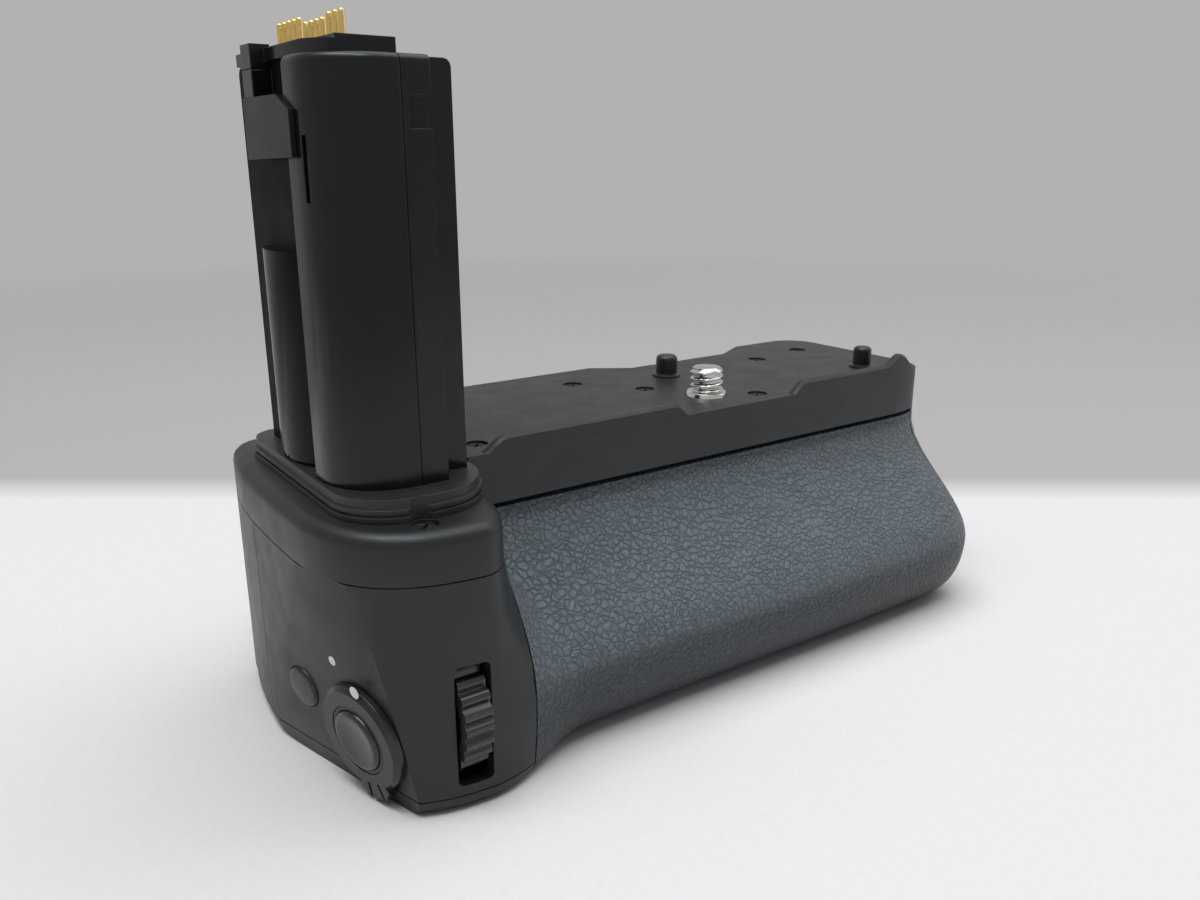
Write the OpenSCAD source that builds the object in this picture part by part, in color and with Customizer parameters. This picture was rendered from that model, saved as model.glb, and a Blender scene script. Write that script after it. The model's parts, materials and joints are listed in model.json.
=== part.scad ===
// Battery grip for an interchangeable-lens camera: a body with a flat mounting
// face, a head with a second set of controls, a contact tower that takes the
// place of the camera's own cell, and a drawer for two slab cells.
// Millimetres, +Z up. The origin is the mouth of the tripod socket in the base,
// straight below the mounting screw. -Y is the front, -X is the head.

/* [Body] */
// Room above the battery box for the screw's drive and the mounting plate
drive_room = 17.1; // [16.5:0.1:20]
// Distance from the mounting screw to the right end
right_len = 57.5; // [57:0.5:63]
// Length of the head beyond the battery box
head_len = 20.1; // [19:0.1:24]
// Distance from the mounting screw to the front of the battery box
box_front = 12.9; // [12:0.1:13.6]
// Distance from the mounting screw to the upper front face
fascia_depth = 10.2; // [9.6:0.2:11]
// Height of the upper front face, below the mounting face
fascia_h = 8.4; // [7.6:0.2:9]
// Thickness of the mounting plate
plate_t = 3.5; // [3:0.1:4]
// Wall of the moulded covers
wall = 2.2; // [1.8:0.1:2.4]
// Rounding of the lower outer edge
edge_r = 2.5; // [1.5:0.1:3]
// Rounding of the two rear corners
corner_r = 7; // [6.5:0.1:9]
// Gap at a parting line
seam = 0.2; // [0.12:0.02:0.3]

/* [Hand grip] */
// Distance from the mounting screw to the crest of the hand grip
grip_depth = 28.5; // [27:0.1:30]
// Thickness of the rubber skin, measured front to back
skin_t = 1.6; // [1.2:0.1:1.8]
// Wall of the front shell under the skin, measured front to back
shell_t = 1.3; // [1:0.1:1.6]
// Share of the grip's height at which its crest lies
crest = 0.36; // [0.32:0.01:0.42]
// Dark channel between the upper front face and the skin
channel = 0.9; // [0.5:0.1:1.4]

/* [Head] */
// Distance from the mounting screw to the front of the head
head_depth = 29.6; // [28.6:0.1:31]
// Height of the head's shoulder below the mounting face
shoulder_drop = 3.3; // [2.6:0.1:4]
// Height of the head cap
cap_h = 7.2; // [6.6:0.1:8]
// Turn of the control face from the end toward the front
face_yaw = 15; // [12:0.5:17]
// Downward tilt of the control face
face_pitch = 7.5; // [5:0.5:9]
// Depth of the control face behind the end of the head
face_in = 5.5; // [5:0.1:6]

/* [Controls] */
// Radius of the shutter button
shutter_r = 4.8; // [4.2:0.1:5.2]
// Travel of the shutter button
shutter_travel = 1.4; // [1:0.1:1.6]
// Outer radius of the lock ring
ring_r = 8.5; // [8:0.1:9]
// Radius of the function button
function_r = 3.4; // [2.8:0.1:3.8]
// Travel of the small buttons
button_travel = 0.9; // [0.6:0.1:1]
// Radius of the command dials
dial_r = 10; // [9:0.1:10.5]
// Width of the command dials
dial_w = 4.4; // [3.6:0.1:5]
// How far a command dial stands out of its slot
dial_out = 1.5; // [1:0.1:2]
// Radius of the dial axles
axle_r = 1.5; // [1.2:0.1:1.8]
// Radius of the rear buttons
rear_button_r = 2.9; // [2.4:0.1:3.1]
// Radius of the selector's cap
selector_r = 4.6; // [4:0.1:4.8]

/* [Mounting] */
// Radius of the mounting screw and of the tripod socket
thread_r = 3.175; // [2.5:0.025:3.5]
// Height of the mounting screw above the mounting face
screw_out = 5.5; // [4.5:0.1:7]
// Depth of the tripod socket
socket_depth = 5.2; // [4.6:0.1:5.4]
// Radius of the rear locating pin
rear_pin_r = 2.2; // [1.8:0.05:2.5]
// Radius of the end locating pin
end_pin_r = 1.9; // [1.6:0.05:2.2]
// Height of the locating pins above the mounting face
pin_out = 4.4; // [3.5:0.1:5.5]
// Radius of the attachment wheel
wheel_r = 13.6; // [12.6:0.1:14]
// How far the attachment wheel stands out of the rear face
wheel_out = 1.5; // [1:0.1:2]
// Module of the gears between the wheel and the screw
gear_module = 0.8; // [0.75:0.01:0.84]

/* [Tower] */
// Size of the contact tower along the grip
tower_w = 20; // [19:0.2:20.6]
// Size of the contact tower from front to rear
tower_d = 38; // [36:0.5:40]
// Height of the contact tower above the mounting face
tower_h = 56.4; // [54:0.2:60]
// Wall of the contact tower
tower_wall = 1.8; // [1.4:0.1:2.2]
// Number of contact pins
pin_count = 12; // [6:1:13]
// Travel of the contact pins
pin_travel = 1.2; // [0.8:0.1:1.4]

/* [Battery drawer] */
// Width of one slab cell
cell_w = 38.4; // [37:0.1:38.8]
// Thickness of one slab cell
cell_t = 19.4; // [18:0.1:19.8]
// Length of one slab cell
cell_l = 54; // [50:0.1:54.2]
// Wall of the drawer
tray_t = 0.9; // [0.8:0.05:1.1]
// Wall of the battery box
box_t = 1; // [0.9:0.05:1.1]
// Sliding clearance around the drawer
slide_gap = 0.3; // [0.25:0.05:0.4]

/* [Hidden] */
$fn = 48;
// The battery box and the drawer in it, which set the size of the body
cap_x = right_len - 5.8;
box_z = 6;
tray_w = cell_w + 2 * tray_t;
box_y = [-box_front, tray_w + 2 * slide_gap + 2 * box_t - box_front];
tray_y = [box_y[0] + box_t + slide_gap, box_y[1] - box_t - slide_gap];
tray_z = box_z + box_t + slide_gap;
cell_air = 0.8;
box_top = tray_z + tray_t + cell_t + cell_air + box_t;
bevel = 4;
latch_room = 3.6;
cell_gap = 0.3;
tray_x = cap_x - latch_room - 3 * tray_t - 2 * (cell_l + cell_gap);
box_x = tray_x - slide_gap - box_t;
// Height of the mounting face, depth to the rear face and length to the end of the head
plate_h = box_top + drive_room;
cover_gap = 0.7;
rear_depth = box_y[1] + cover_gap + wall;
left_len = head_len - box_x;
// Heights that several pieces share
skirt_z = plate_h - fascia_h;
plate_z = plate_h - plate_t;
shoulder_z = plate_h - shoulder_drop;
cap_z = shoulder_z - cap_h;
base_t = 2.6;
skirt_t = 2;
// Front left corner of the contact tower
tower_x = 5.4 - left_len;
tower_y = -18;
// Plan of the head: two quarters of a squared oval round one centre
head_reach = 26;
head_cx = head_reach - left_len;
head_cy = -3;
head_power = 2 / 3;
head_front_reach = head_depth + head_cy;
head_rear_reach = 45;
// Where the head's oval stops, where the plate and the skin start and where the rear cover starts
head_end_a = 83.8;
collar_room = 2.2;
plate_x = tower_x + tower_w + collar_room;
rear_split = rear_depth - 22.8;
// The flank that runs from the head back to the hand grip
flank_x = head_cx - head_reach * pow(cos(head_end_a), head_power);
flank_run = plate_x - flank_x;
flank_spread = 0.4;
flank_power = 0.5;
flank_soften = 2;
// The rounded right end in plan
end_run = 17.5;
end_power = 3;
end_y = 5;
end_blunt = 0.35;
// Room round the selector's gimbal
gimbal_r = 4.4;
seat_r = gimbal_r + 0.4;
seat_t = 0.9;
// Fits
running = 0.05;
play = 0.3;
touch = 0.02;
over = 1;

function lerp(a, b, t) = a + (b - a) * t;
function ease(t) = 0.5 - 0.5 * cos(180 * min(1, max(0, t)));
function arc(c, r, a0, a1, n) = [for (i = [0:n])
    c + r * [cos(lerp(a0, a1, i / n)), sin(lerp(a0, a1, i / n))]];
function at_z(points, z) = [for (p = points) [p[0], p[1], z]];
function reversed(list) = [for (i = [len(list) - 1:-1:0]) list[i]];
// Inset of the lower outer edge at height z
function inset(z) = z < edge_r ? edge_r - sqrt(max(0, edge_r * edge_r - pow(edge_r - z, 2))) : 0;

// Share of the hand grip's swell at a share h of its height
crest_top = 0.95;
foot_share = 0.45;
function swell(h) = h >= crest
    ? 0.5 + 0.5 * cos(180 * min(1, (h - crest) / (crest_top - crest)))
    : foot_share + (1 - foot_share) * sqrt(max(0, 1 - pow((crest - max(0, h)) / crest, 2)));
// The grip is a little slimmer beside the head
lean_x = -50;
lean_run = 80;
lean_least = 0.92;
function lean(x) = lerp(lean_least, 1, ease((x - lean_x) / lean_run));
function grip_y(x, z) = -fascia_depth - (grip_depth - fascia_depth) * lean(x) * swell(z / skirt_z);
// The right end rounds off in plan
function end_scale(x, d) = x <= right_len - end_run ? 1
    : pow(max(0, 1 - pow((x - right_len + end_run) / (end_run - d + end_blunt), end_power)),
        1 / end_power);
function rounded(x, y, d = 0) = end_y + (y - end_y) * end_scale(x, d);
// Front of the head where its flank starts, and front of the body at any x and z
function head_front(z) = head_cy - (head_front_reach - inset(z)) * pow(sin(head_end_a), head_power);
function flank_at(x, z) = min(1, max(0, (x - flank_x)
    / (flank_run + flank_spread * max(0, skirt_z - z))));
function head_mix(x, z) = pow(1 - pow(flank_at(x, z), 2),
    flank_power + flank_soften * max(0, 1 - z / skirt_z));
function front_y(x, z) = rounded(x, lerp(grip_y(x, z), head_front(z), head_mix(x, z)));

// Plan of the head, in by d: rear quarter from the split, front quarter, flank
function oval(a, reach, d) = [
    head_cx - (head_reach - d) * pow(cos(a), head_power),
    head_cy + sign(reach) * (abs(reach) - d) * pow(sin(abs(a)), head_power)];
function oval_a(y) = asin(pow((y - head_cy) / head_rear_reach, 1 / head_power));
rear_bend_y = rear_depth - corner_r;
function rear_quarter(y0, y1, d, n) =
    [for (i = [0:n]) let (y = lerp(y0, y1, i / n), a = oval_a(max(y, head_cy)))
    [head_cx - (head_reach - d) * pow(cos(a), head_power), y]];
function front_quarter(d, n) = [for (i = [0:n])
    oval(pow(i / n, 1.25) * head_end_a, -head_front_reach, d)];
function flank(z, n) = [for (i = [1:n]) let (x = lerp(flank_x, plate_x, sin(90 * i / n)))
    [x, front_y(x, z)]];
// A path moved sideways by d, to its left
function heading(path, i) = path[min(i + 1, len(path) - 1)] - path[max(i - 1, 0)];
function beside(path, d) = [for (i = [0:len(path) - 1]) let (h = heading(path, i))
    path[i] + d * [-h[1], h[0]] / norm(h)];
// Rear corner of the head from its end to the rear face
rear_bend_x = head_cx - head_reach * pow(cos(oval_a(rear_bend_y)), head_power) + corner_r;
function rear_corner(d) = arc([rear_bend_x, rear_bend_y], corner_r - d, 180, 90, 6);
// Right end of the plate and the covers in plan, in by d
function end_corner(d, n) = [for (i = [0:n])
    let (t = pow(i / n, 0.6), x = lerp(right_len - end_run, right_len - d, t))
    [x, rounded(x, d - fascia_depth, d)]];
function rear_end_corner(d) = arc([right_len - corner_r, rear_bend_y], corner_r - d, 0, 90, 6);

// Skin of triangles over a stack of rings that have the same number of points. Paired rings go out
// along one path and back along another with as many points; a strip between the two closes their ends.
module loft(rings, paired = false) {
    n = len(rings[0]);
    top = (len(rings) - 1) * n;
    points = [for (ring = rings) each ring];
    sides = [for (k = [0:len(rings) - 2], i = [0:n - 1]) let (j = (i + 1) % n, a = k * n, b = (k + 1) * n)
        each [[a + i, b + i, a + j], [a + j, b + i, b + j]]];
    whole = [[for (i = [0:n - 1]) i], [for (i = [n - 1:-1:0]) top + i]];
    strips = [for (i = [0:n / 2 - 2])
        each [[i, i + 1, n - 2 - i, n - 1 - i],
            [top + n - 1 - i, top + n - 2 - i, top + i + 1, top + i]]];
    polyhedron(points, concat(paired ? strips : whole, sides), convexity = 6);
}
// Rectangle with rounded corners, centred
function soft_rect(w, h, r) = concat(
    arc([w / 2 - r, h / 2 - r], r, 0, 90, 4), arc([r - w / 2, h / 2 - r], r, 90, 180, 4),
    arc([r - w / 2, r - h / 2], r, 180, 270, 4), arc([w / 2 - r, r - h / 2], r, 270, 360, 4));

// Children with their Z axis along another direction
module along_x(at) { translate(at) rotate([0, 90, 0]) children(); }
module along_y(at) { translate(at) rotate([-90, 0, 0]) children(); }
// A ring or a drilled disc
module tube(r, hole, h) {
    difference() {
        cylinder(r = r, h = h);
        translate([0, 0, -over]) cylinder(r = hole, h = h + 2 * over);
    }
}

// Mounting face

mount_hole_r = thread_r + 0.85;
rear_pin_at = [4.6, 17.7];
end_pin_at = [right_len - 12.6, 0.1];
plate_screws_at = [[-16.1, 22], [-6.7, 10.5], [8.6, -5.1], [right_len - 25.7, 18.9],
    [right_len - 10, 21.6],
    [plate_x + 4.6, -4.3]];
screw_head_r = 1.9;
screw_head_h = 0.9;
screw_shank_r = 0.95;
screw_sunk = 0.35;
notch_depth = 5;
notch_z = plate_h - 2.4;
notch_x = [-4.6, 3, 29.7, 38.4];
wheel_y = rear_depth + wheel_out - wheel_r;
wheel_h = 3.8;
wheel_z = plate_z - 0.5 - wheel_h;
gear_h = 3.2;
gear_z = wheel_z - gear_h;
wheel_axle_r = 2;
bracket_t = 1.5;
bracket_z = gear_z - 0.5 - bracket_t;
post_r = 2.6;

function plate_outline(d) = concat(
    [[plate_x + (d > 0 ? -over : 0), d - fascia_depth]], end_corner(d, 10),
    rear_end_corner(d), [[plate_x + (d > 0 ? -over : 0), rear_depth - d]]);

// Lips on the front edge: height of the lip along the front and round the corner
lip_h = 2.3;
horn_h = 4.2;
lip_t = 1.9;
lip_x = [plate_x + 1.8, plate_x + 7.2, -16, -11.5, 12.5, 16.7, right_len - 16.5, right_len - 12.5];
function ramp(x, a, b) = ease((x - a) / (b - a));
lip_root = 0.4;
function lip_top(x) = -lip_root + (lip_h + lip_root)
    * (ramp(x, lip_x[0], lip_x[1]) - ramp(x, lip_x[2], lip_x[3])
    + ramp(x, lip_x[4], lip_x[5])) + (horn_h - lip_h) * ramp(x, lip_x[6], lip_x[7])
    - (horn_h + lip_root) * ramp(x, lip_x[7], right_len - 4);
lip_stations = concat(
    [for (x = [plate_x + 0.4, each [for (i = [0:5]) lerp(lip_x[0], lip_x[1], i / 5)]]) x],
    [for (i = [0:4]) lerp(lip_x[2], lip_x[3], i / 4)], [for (i = [0:4]) lerp(lip_x[4], lip_x[5], i / 4)],
    [for (i = [0:16]) lerp(lip_x[6] - 2, right_len - 3, i / 16)]);

lip_soft = 0.5;
lip_in = 0.03;
module front_lip() {
    loft([for (x = lip_stations) let (y = rounded(x, lip_in - fascia_depth, lip_in), top =
        plate_h + lip_top(x)) [
        [x, y, plate_z + over], [x, y + lip_t, plate_z + over], [x, y + lip_t, top - lip_soft],
        [x, y + lip_t - lip_soft, top], [x, y + lip_soft, top], [x, y, top - lip_soft]]], true);
}

module countersunk(at) {
    translate([at[0], at[1], plate_h - screw_head_h - screw_sunk - touch])
        cylinder(r = screw_head_r + touch, h = screw_head_h + screw_sunk + over);
    translate([at[0], at[1], plate_h - plate_t - over])
        cylinder(r = screw_shank_r + touch, h = plate_t + over);
}

// A blind hole with a counterbore for a locating pin's collar
module pin_hole(at, r) {
    translate([at[0], at[1], plate_h - pin_seat]) cylinder(r = r + touch, h = pin_seat + over);
    translate([at[0], at[1], plate_h - pin_collar_sunk])
        cylinder(r = r + pin_collar + touch, h = pin_seat + over);
}

module top_plate() color("dimgray") {
    difference() {
        union() {
            difference() {
                translate([0, 0, skirt_z]) linear_extrude(fascia_h) polygon(plate_outline(0));
                translate([0, 0, skirt_z - over]) linear_extrude(fascia_h - plate_t + over)
                    polygon(plate_outline(skirt_t));
            }
            front_lip();
            for (p = posts_at) translate([p[0], p[1], bracket_z + bracket_t])
                cylinder(r = post_r, h = plate_z - bracket_z);
            for (p = board_posts_at) translate([p[0], p[1], board_z + board_t])
                cylinder(r = board_post_r, h = plate_z - board_z);
        }
        translate([0, 0, notch_z]) linear_extrude(plate_t + over) polygon([
            [notch_x[0], rear_depth + touch], [notch_x[1], rear_depth - notch_depth],
            [notch_x[2], rear_depth - notch_depth], [notch_x[3], rear_depth + touch],
            [notch_x[3], rear_depth + over], [notch_x[0], rear_depth + over]]);
        translate([0, 0, skirt_z - over]) linear_extrude(plate_z - skirt_z + over)
            translate([-wheel_slot_w, rear_depth - skirt_t - over])
                square([2 * wheel_slot_w, skirt_t + 2 * over]);
        translate([0, 0, plate_z - over]) cylinder(r = mount_hole_r, h = plate_t + 2 * over);
        translate([0, wheel_y, plate_z - over]) cylinder(r = wheel_axle_r, h = over + axle_seat);
        pin_hole(rear_pin_at, rear_pin_r);
        pin_hole(end_pin_at, end_pin_r);
        for (p = plate_screws_at) countersunk(p);
        for (p = posts_at) translate([p[0], p[1], bracket_z])
            cylinder(r = post_screw_r, h = post_screw_h + bracket_t);
    }
}
wheel_slot_w = sqrt(pow(wheel_r + play, 2) - pow(rear_depth - skirt_t - wheel_y, 2)) + 0.5;
axle_seat = 2;
pin_seat = 2.6;
posts_at = [[-15, -3], [15, -3], [-17, 16], [17.5, 14]];
bracket_rim = 0.8;
post_screw_r = 1;
post_screw_h = 5;
board_t = 1.4;
board_z = bracket_z;
board_at = [plate_x + 5, -4.5];
board_gap = 1.2;
board_size = [min(30, posts_at[2][0] - post_r - bracket_rim - board_gap - board_at[0]), 30];
board_edge = 3;
board_posts_at = [for (x = [board_edge, board_size[0] - board_edge], y =
    [board_edge, board_size[1] - board_edge])
    board_at + [x, y]];
board_post_r = 2;

module plate_screws() color("black") {
    for (p = plate_screws_at) translate([p[0], p[1], plate_h - screw_sunk]) {
        difference() {
            union() {
                translate([0, 0, -screw_head_h]) cylinder(r = screw_head_r, h = screw_head_h);
                translate([0, 0, -plate_t + screw_sunk])
                    cylinder(r = screw_shank_r, h = plate_t - screw_sunk);
            }
            for (a = [45, 135]) rotate(a) translate([-1.1, -0.2, -0.5]) cube([2.2, 0.4, over]);
        }
    }
}

// Locating pins: a straight shank with a rounded top and a small collar on the plate
pin_collar = 0.7;
pin_collar_sunk = 0.5;
pin_collar_out = 0.3;
module locating_pin(at, r) {
    soft = r * 0.45;
    translate([at[0], at[1], plate_h]) rotate_extrude() polygon(concat(
        [[0, -pin_seat], [r, -pin_seat], [r, -pin_collar_sunk], [r + pin_collar, -pin_collar_sunk],
        [r + pin_collar, pin_collar_out], [r, pin_collar_out + 0.2]],
        [for (p = arc([r - soft, pin_out - soft], soft, 0, 90, 6)) p], [[0, pin_out]]));
}
module rear_locating_pin() color("black") locating_pin(rear_pin_at, rear_pin_r);
module end_locating_pin() color("black") locating_pin(end_pin_at, end_pin_r);

// Mounting screw and its drive

wheel_teeth = 18;
idler_teeth = 16;
screw_teeth = 14;
wheel_pitch_r = gear_module * wheel_teeth / 2;
idler_pitch_r = gear_module * idler_teeth / 2;
screw_pitch_r = gear_module * screw_teeth / 2;
// The idler sits where both centre distances are right
to_screw = idler_pitch_r + screw_pitch_r;
to_wheel = idler_pitch_r + wheel_pitch_r;
idler_y = (to_screw * to_screw - to_wheel * to_wheel + wheel_y * wheel_y) / (2 * wheel_y);
idler_at = [sqrt(to_screw * to_screw - idler_y * idler_y), idler_y];
idler_axle_r = 1.5;
screw_shaft_r = thread_r + 0.7;
journal_r = 2;
// Turn that sets each gear's teeth in its neighbour's gaps
function mesh_turn(from_turn, from_teeth, teeth, dir) = dir + 180 + 180 / teeth - (from_turn - dir)
    * from_teeth / teeth;
dir_wheel_idler = atan2(idler_at[1] - wheel_y, idler_at[0]);
dir_idler_screw = atan2(-idler_at[1], -idler_at[0]);
idler_turn = mesh_turn(0, wheel_teeth, idler_teeth, dir_wheel_idler);
screw_turn = mesh_turn(idler_turn, idler_teeth, screw_teeth, dir_idler_screw);
// Spur gear with involute flanks
pressure = 25;
addendum = 0.85;
dedendum = 1.2;
backlash = 0.16;
deg = 180 / PI;
function involute(a) = (tan(a) - a / deg) * deg;
module gear(teeth, h) {
    pitch_r = gear_module * teeth / 2;
    base_r = pitch_r * cos(pressure);
    tip_r = pitch_r + addendum * gear_module;
    root_r = pitch_r - dedendum * gear_module;
    half = 90 / teeth - backlash / 2 / pitch_r * deg + involute(pressure);
    low_r = max(base_r, root_r);
    flank = [for (i = [0:4]) let (r = lerp(low_r, tip_r, i / 4), a =
        half - involute(acos(min(1, base_r / r))))
        r * [cos(a), sin(a)]];
    foot = root_r * [cos(half), sin(half)];
    tooth = concat([[foot[0], -foot[1]]], [for (p = flank) [p[0], -p[1]]], reversed(flank), [foot]);
    linear_extrude(h) polygon([for (k = [0:teeth - 1])
        let (c = cos(360 * k / teeth), s = sin(360 * k / teeth))
        each [for (p = tooth) [p[0] * c - p[1] * s, p[0] * s + p[1] * c]]]);
}

module mounting_screw() color("silver") {
    collar_h = 0.7;
    tip = 0.8;
    rotate_extrude() polygon([
        [0, bracket_z + 0.1], [journal_r - running, bracket_z + 0.1], [journal_r - running, gear_z],
        [screw_bore_r, gear_z], [screw_bore_r, gear_z + gear_h], [screw_shaft_r, gear_z + gear_h],
        [screw_shaft_r, plate_h + collar_h - 0.3], [screw_shaft_r - 0.3, plate_h + collar_h],
        [thread_r, plate_h + collar_h], [thread_r, plate_h + screw_out - tip],
        [thread_r - tip * 0.45, plate_h + screw_out - tip * 0.3],
            [thread_r - tip * 1.3, plate_h + screw_out],
        [0, plate_h + screw_out]]);
}
screw_bore_r = 2.6;
module screw_gear() color("khaki") translate([0, 0, gear_z]) difference() {
    rotate(screw_turn) gear(screw_teeth, gear_h);
    translate([0, 0, -over]) cylinder(r = screw_bore_r, h = gear_h + 2 * over);
}
module idler_gear() color("khaki") translate([idler_at[0], idler_at[1], gear_z]) difference() {
    rotate(idler_turn) gear(idler_teeth, gear_h - play);
    translate([0, 0, -over]) cylinder(r = idler_axle_r + running, h = gear_h + 2 * over);
}
module idler_axle() color("silver") translate([idler_at[0], idler_at[1], bracket_z])
    cylinder(r = idler_axle_r, h = wheel_z - play - bracket_z);
module wheel_axle() color("silver") translate([0, wheel_y, bracket_z])
    cylinder(r = wheel_axle_r, h = plate_z + axle_seat - bracket_z);
// Thumb wheel with a ribbed rim above and its gear below
wheel_ribs = 48;
rib_d = 0.5;
module attachment_wheel() color("dimgray") translate([0, wheel_y, 0]) difference() {
    union() {
        translate([0, 0, gear_z]) gear(wheel_teeth, gear_h + touch);
        translate([0, 0, wheel_z]) linear_extrude(wheel_h) polygon([for (i = [0:4 * wheel_ribs - 1])
            (wheel_r - (i % 4 < 2 ? 0 : rib_d)) * [cos(90 * i / wheel_ribs), sin(90 * i / wheel_ribs)]]);
    }
    translate([0, 0, gear_z - over]) cylinder(r = wheel_axle_r + running, h = plate_z);
}
module drive_bracket() color("gray") translate([0, 0, bracket_z]) difference() {
    linear_extrude(bracket_t) polygon(concat(
        arc(posts_at[0], post_r + bracket_rim, 180, 270, 4),
            arc(posts_at[1], post_r + bracket_rim, 270, 360, 4),
        arc(posts_at[3], post_r + bracket_rim, 0, 45, 3),
        arc([0, wheel_y], wheel_axle_r + 2.5, 45, 135, 5),
            arc(posts_at[2], post_r + bracket_rim, 135, 180, 3)));
    translate([0, 0, -over]) {
        cylinder(r = journal_r, h = bracket_t + 2 * over);
        translate([0, wheel_y]) cylinder(r = wheel_axle_r, h = bracket_t + 2 * over);
        translate(idler_at) cylinder(r = idler_axle_r, h = bracket_t + 2 * over);
        for (p = posts_at) translate(p) cylinder(r = post_screw_r, h = bracket_t + 2 * over);
    }
}
module bracket_screws() color("silver") for (p = posts_at) translate([p[0], p[1], bracket_z]) {
    translate([0, 0, -1]) cylinder(r = post_screw_r + 0.9, h = 1);
    cylinder(r = post_screw_r, h = bracket_t + post_screw_h - 0.5);
}
module circuit_board() color("darkgreen") translate([board_at[0], board_at[1], board_z]) {
    cube([board_size[0], board_size[1], board_t]);
    for (x = [9, 17]) translate([x, 10, -1.2]) cube([6, 8, 1.2]);
}

// Shells

// Control face on the lower end of the head
face_at = [face_in - left_len, -17.6, 10.4];
face_n = [-cos(face_pitch) * cos(face_yaw), -cos(face_pitch) * sin(face_yaw), -sin(face_pitch)];
function face_x(y, z) = face_at[0] - (face_n[1] * (y - face_at[1]) + face_n[2] * (z - face_at[2]))
    / face_n[0];
// On the face, local Z points out, X down and Y to the front
module on_face(u = 0, v = 0, w = 0) {
    translate(face_at) rotate([0, 90 + face_pitch, 180 + face_yaw]) translate([u, v, w]) children();
}
module outside_face() on_face() translate([-left_len, -left_len, 0])
    cube([2 * left_len, 2 * left_len, left_len]);

function head_path(z) = concat(
    rear_quarter(rear_split - seam, head_cy + 1, 0, 3), front_quarter(0, 16), flank(z, 6));
function head_inner(z) = [for (p = beside(head_path(z), wall)) [max(p[0], face_x(p[1], z) + wall), p[1]]];
function head_ring(z) = at_z(concat(head_path(z), reversed(head_inner(z))), z);
head_levels = [for (i = [0:6]) lerp(base_t + seam, cap_z - seam, i / 6)];

sleeve_h = 1.5;
sleeve_t = 0.6;
button_gap = 0.1;
function_at = [-2.8, -14.2];
dial_slot_w = dial_w + 1;
front_dial_at = [flank_x - 3, dial_r - dial_out - head_depth, 13.7];
rear_controls_x = min(flank_x - 5.8, box_x - seat_r - seat_t - play);
rear_dial_at = [rear_controls_x, rear_depth + dial_out - dial_r, 12.6];
cheek_t = 1.4;
cheek_reach = 3;

// Two cheeks that hold a dial's axle, from the wall at y to past the axle, with a slot for the dial
module dial_cheeks(at, y) {
    side = sign(y - at[1]);
    for (x = [-dial_slot_w / 2 - cheek_t, dial_slot_w / 2 - touch])
        translate([at[0] + x, min(at[1] - side * cheek_reach, y), at[2] - cheek_reach])
            cube([cheek_t + touch, abs(y - at[1]) + cheek_reach, 2 * cheek_reach]);
}
module dial_slot(at) {
    translate([at[0], at[1] + dial_r + over, at[2]]) rotate([90, 0, 0])
        linear_extrude(2 * dial_r + 2 * over)
        polygon(soft_rect(dial_slot_w, 2 * dial_r - 1.2, 0.9));
    along_x([at[0] - dial_slot_w / 2, at[1], at[2]]) cylinder(r = dial_r + play, h = dial_slot_w);
    along_x([at[0] - dial_slot_w, at[1], at[2]]) cylinder(r = axle_r, h = 2 * dial_slot_w);
}

module head_shell() color("dimgray") difference() {
    union() {
        difference() {
            loft([for (z = head_levels) head_ring(z)], true);
            outside_face();
        }
        on_face(0, 0, -wall) cylinder(r = shutter_r + button_gap + sleeve_t, h = wall + sleeve_h);
        dial_cheeks(front_dial_at, wall * 0.6 - head_depth);
    }
    on_face(0, 0, -wall - over) cylinder(r = shutter_r + button_gap, h = wall + sleeve_h + 2 * over);
    on_face(function_at[0], function_at[1], -wall - over)
        cylinder(r = function_r + button_gap, h = wall + 4 * over);
    on_face(0, 0, -face_back - shutter_cup_depth - over)
        cylinder(r = shutter_r + cup_gap + cup_t + play, h = shutter_cup_depth + over + touch);
    on_face(function_at[0], function_at[1], -face_back - function_cup_depth - over)
        cylinder(r = function_r + flange_t + cup_gap + cup_t + play, h =
            function_cup_depth + over + touch);
    dial_slot(front_dial_at);
}

// Cap of the head: a shallow bowl upside down with a rounded shoulder
shoulder_r = 2;
function cap_path(d, past = 0) = let (path = concat(
    [[plate_x - seam, rear_depth]], reversed(rear_corner(0)),
        rear_quarter(rear_bend_y - 1, head_cy + 1, 0, 6),
    front_quarter(0, 16), flank(skirt_z, 6)), moved = beside(path, d))
    [for (p = moved) [p[0] > plate_x - seam - touch ? plate_x - seam + past : p[0], p[1]]];
cap_levels = concat([[cap_z, 0], [shoulder_z - shoulder_r, 0]],
    [for (a = [30, 60, 90]) [shoulder_z - shoulder_r + shoulder_r * sin(a), shoulder_r * (1 - cos(a))]]);
module head_cap() color("dimgray") difference() {
    loft([for (l = cap_levels) at_z(cap_path(l[1]), l[0])]);
    translate([0, 0, cap_z - over]) linear_extrude(cap_h - wall + over) polygon(cap_path(wall, over));
    translate([shoulder_screw_at[0], shoulder_screw_at[1], 0]) {
        translate([0, 0, shoulder_z - screw_head_h - screw_sunk])
            cylinder(r = screw_head_r + touch, h = 4 * over);
        translate([0, 0, cap_z]) cylinder(r = screw_shank_r + touch, h = cap_h);
    }
    translate([tower_x + tower_w / 2 - 3, tower_y + 6, cap_z]) cube([7, 22, cap_h + over]);
}
shoulder_screw_at = [tower_x + 8.1, tower_y - 6.2];
module shoulder_screw() color("black")
    translate([shoulder_screw_at[0], shoulder_screw_at[1], shoulder_z - screw_sunk])
    difference() {
        union() {
            translate([0, 0, -screw_head_h]) cylinder(r = screw_head_r, h = screw_head_h);
            translate([0, 0, screw_sunk - wall]) cylinder(r = screw_shank_r, h = wall - screw_sunk);
        }
        for (a = [45, 135]) rotate(a) translate([-1.1, -0.2, -0.5]) cube([2.2, 0.4, over]);
    }

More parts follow.
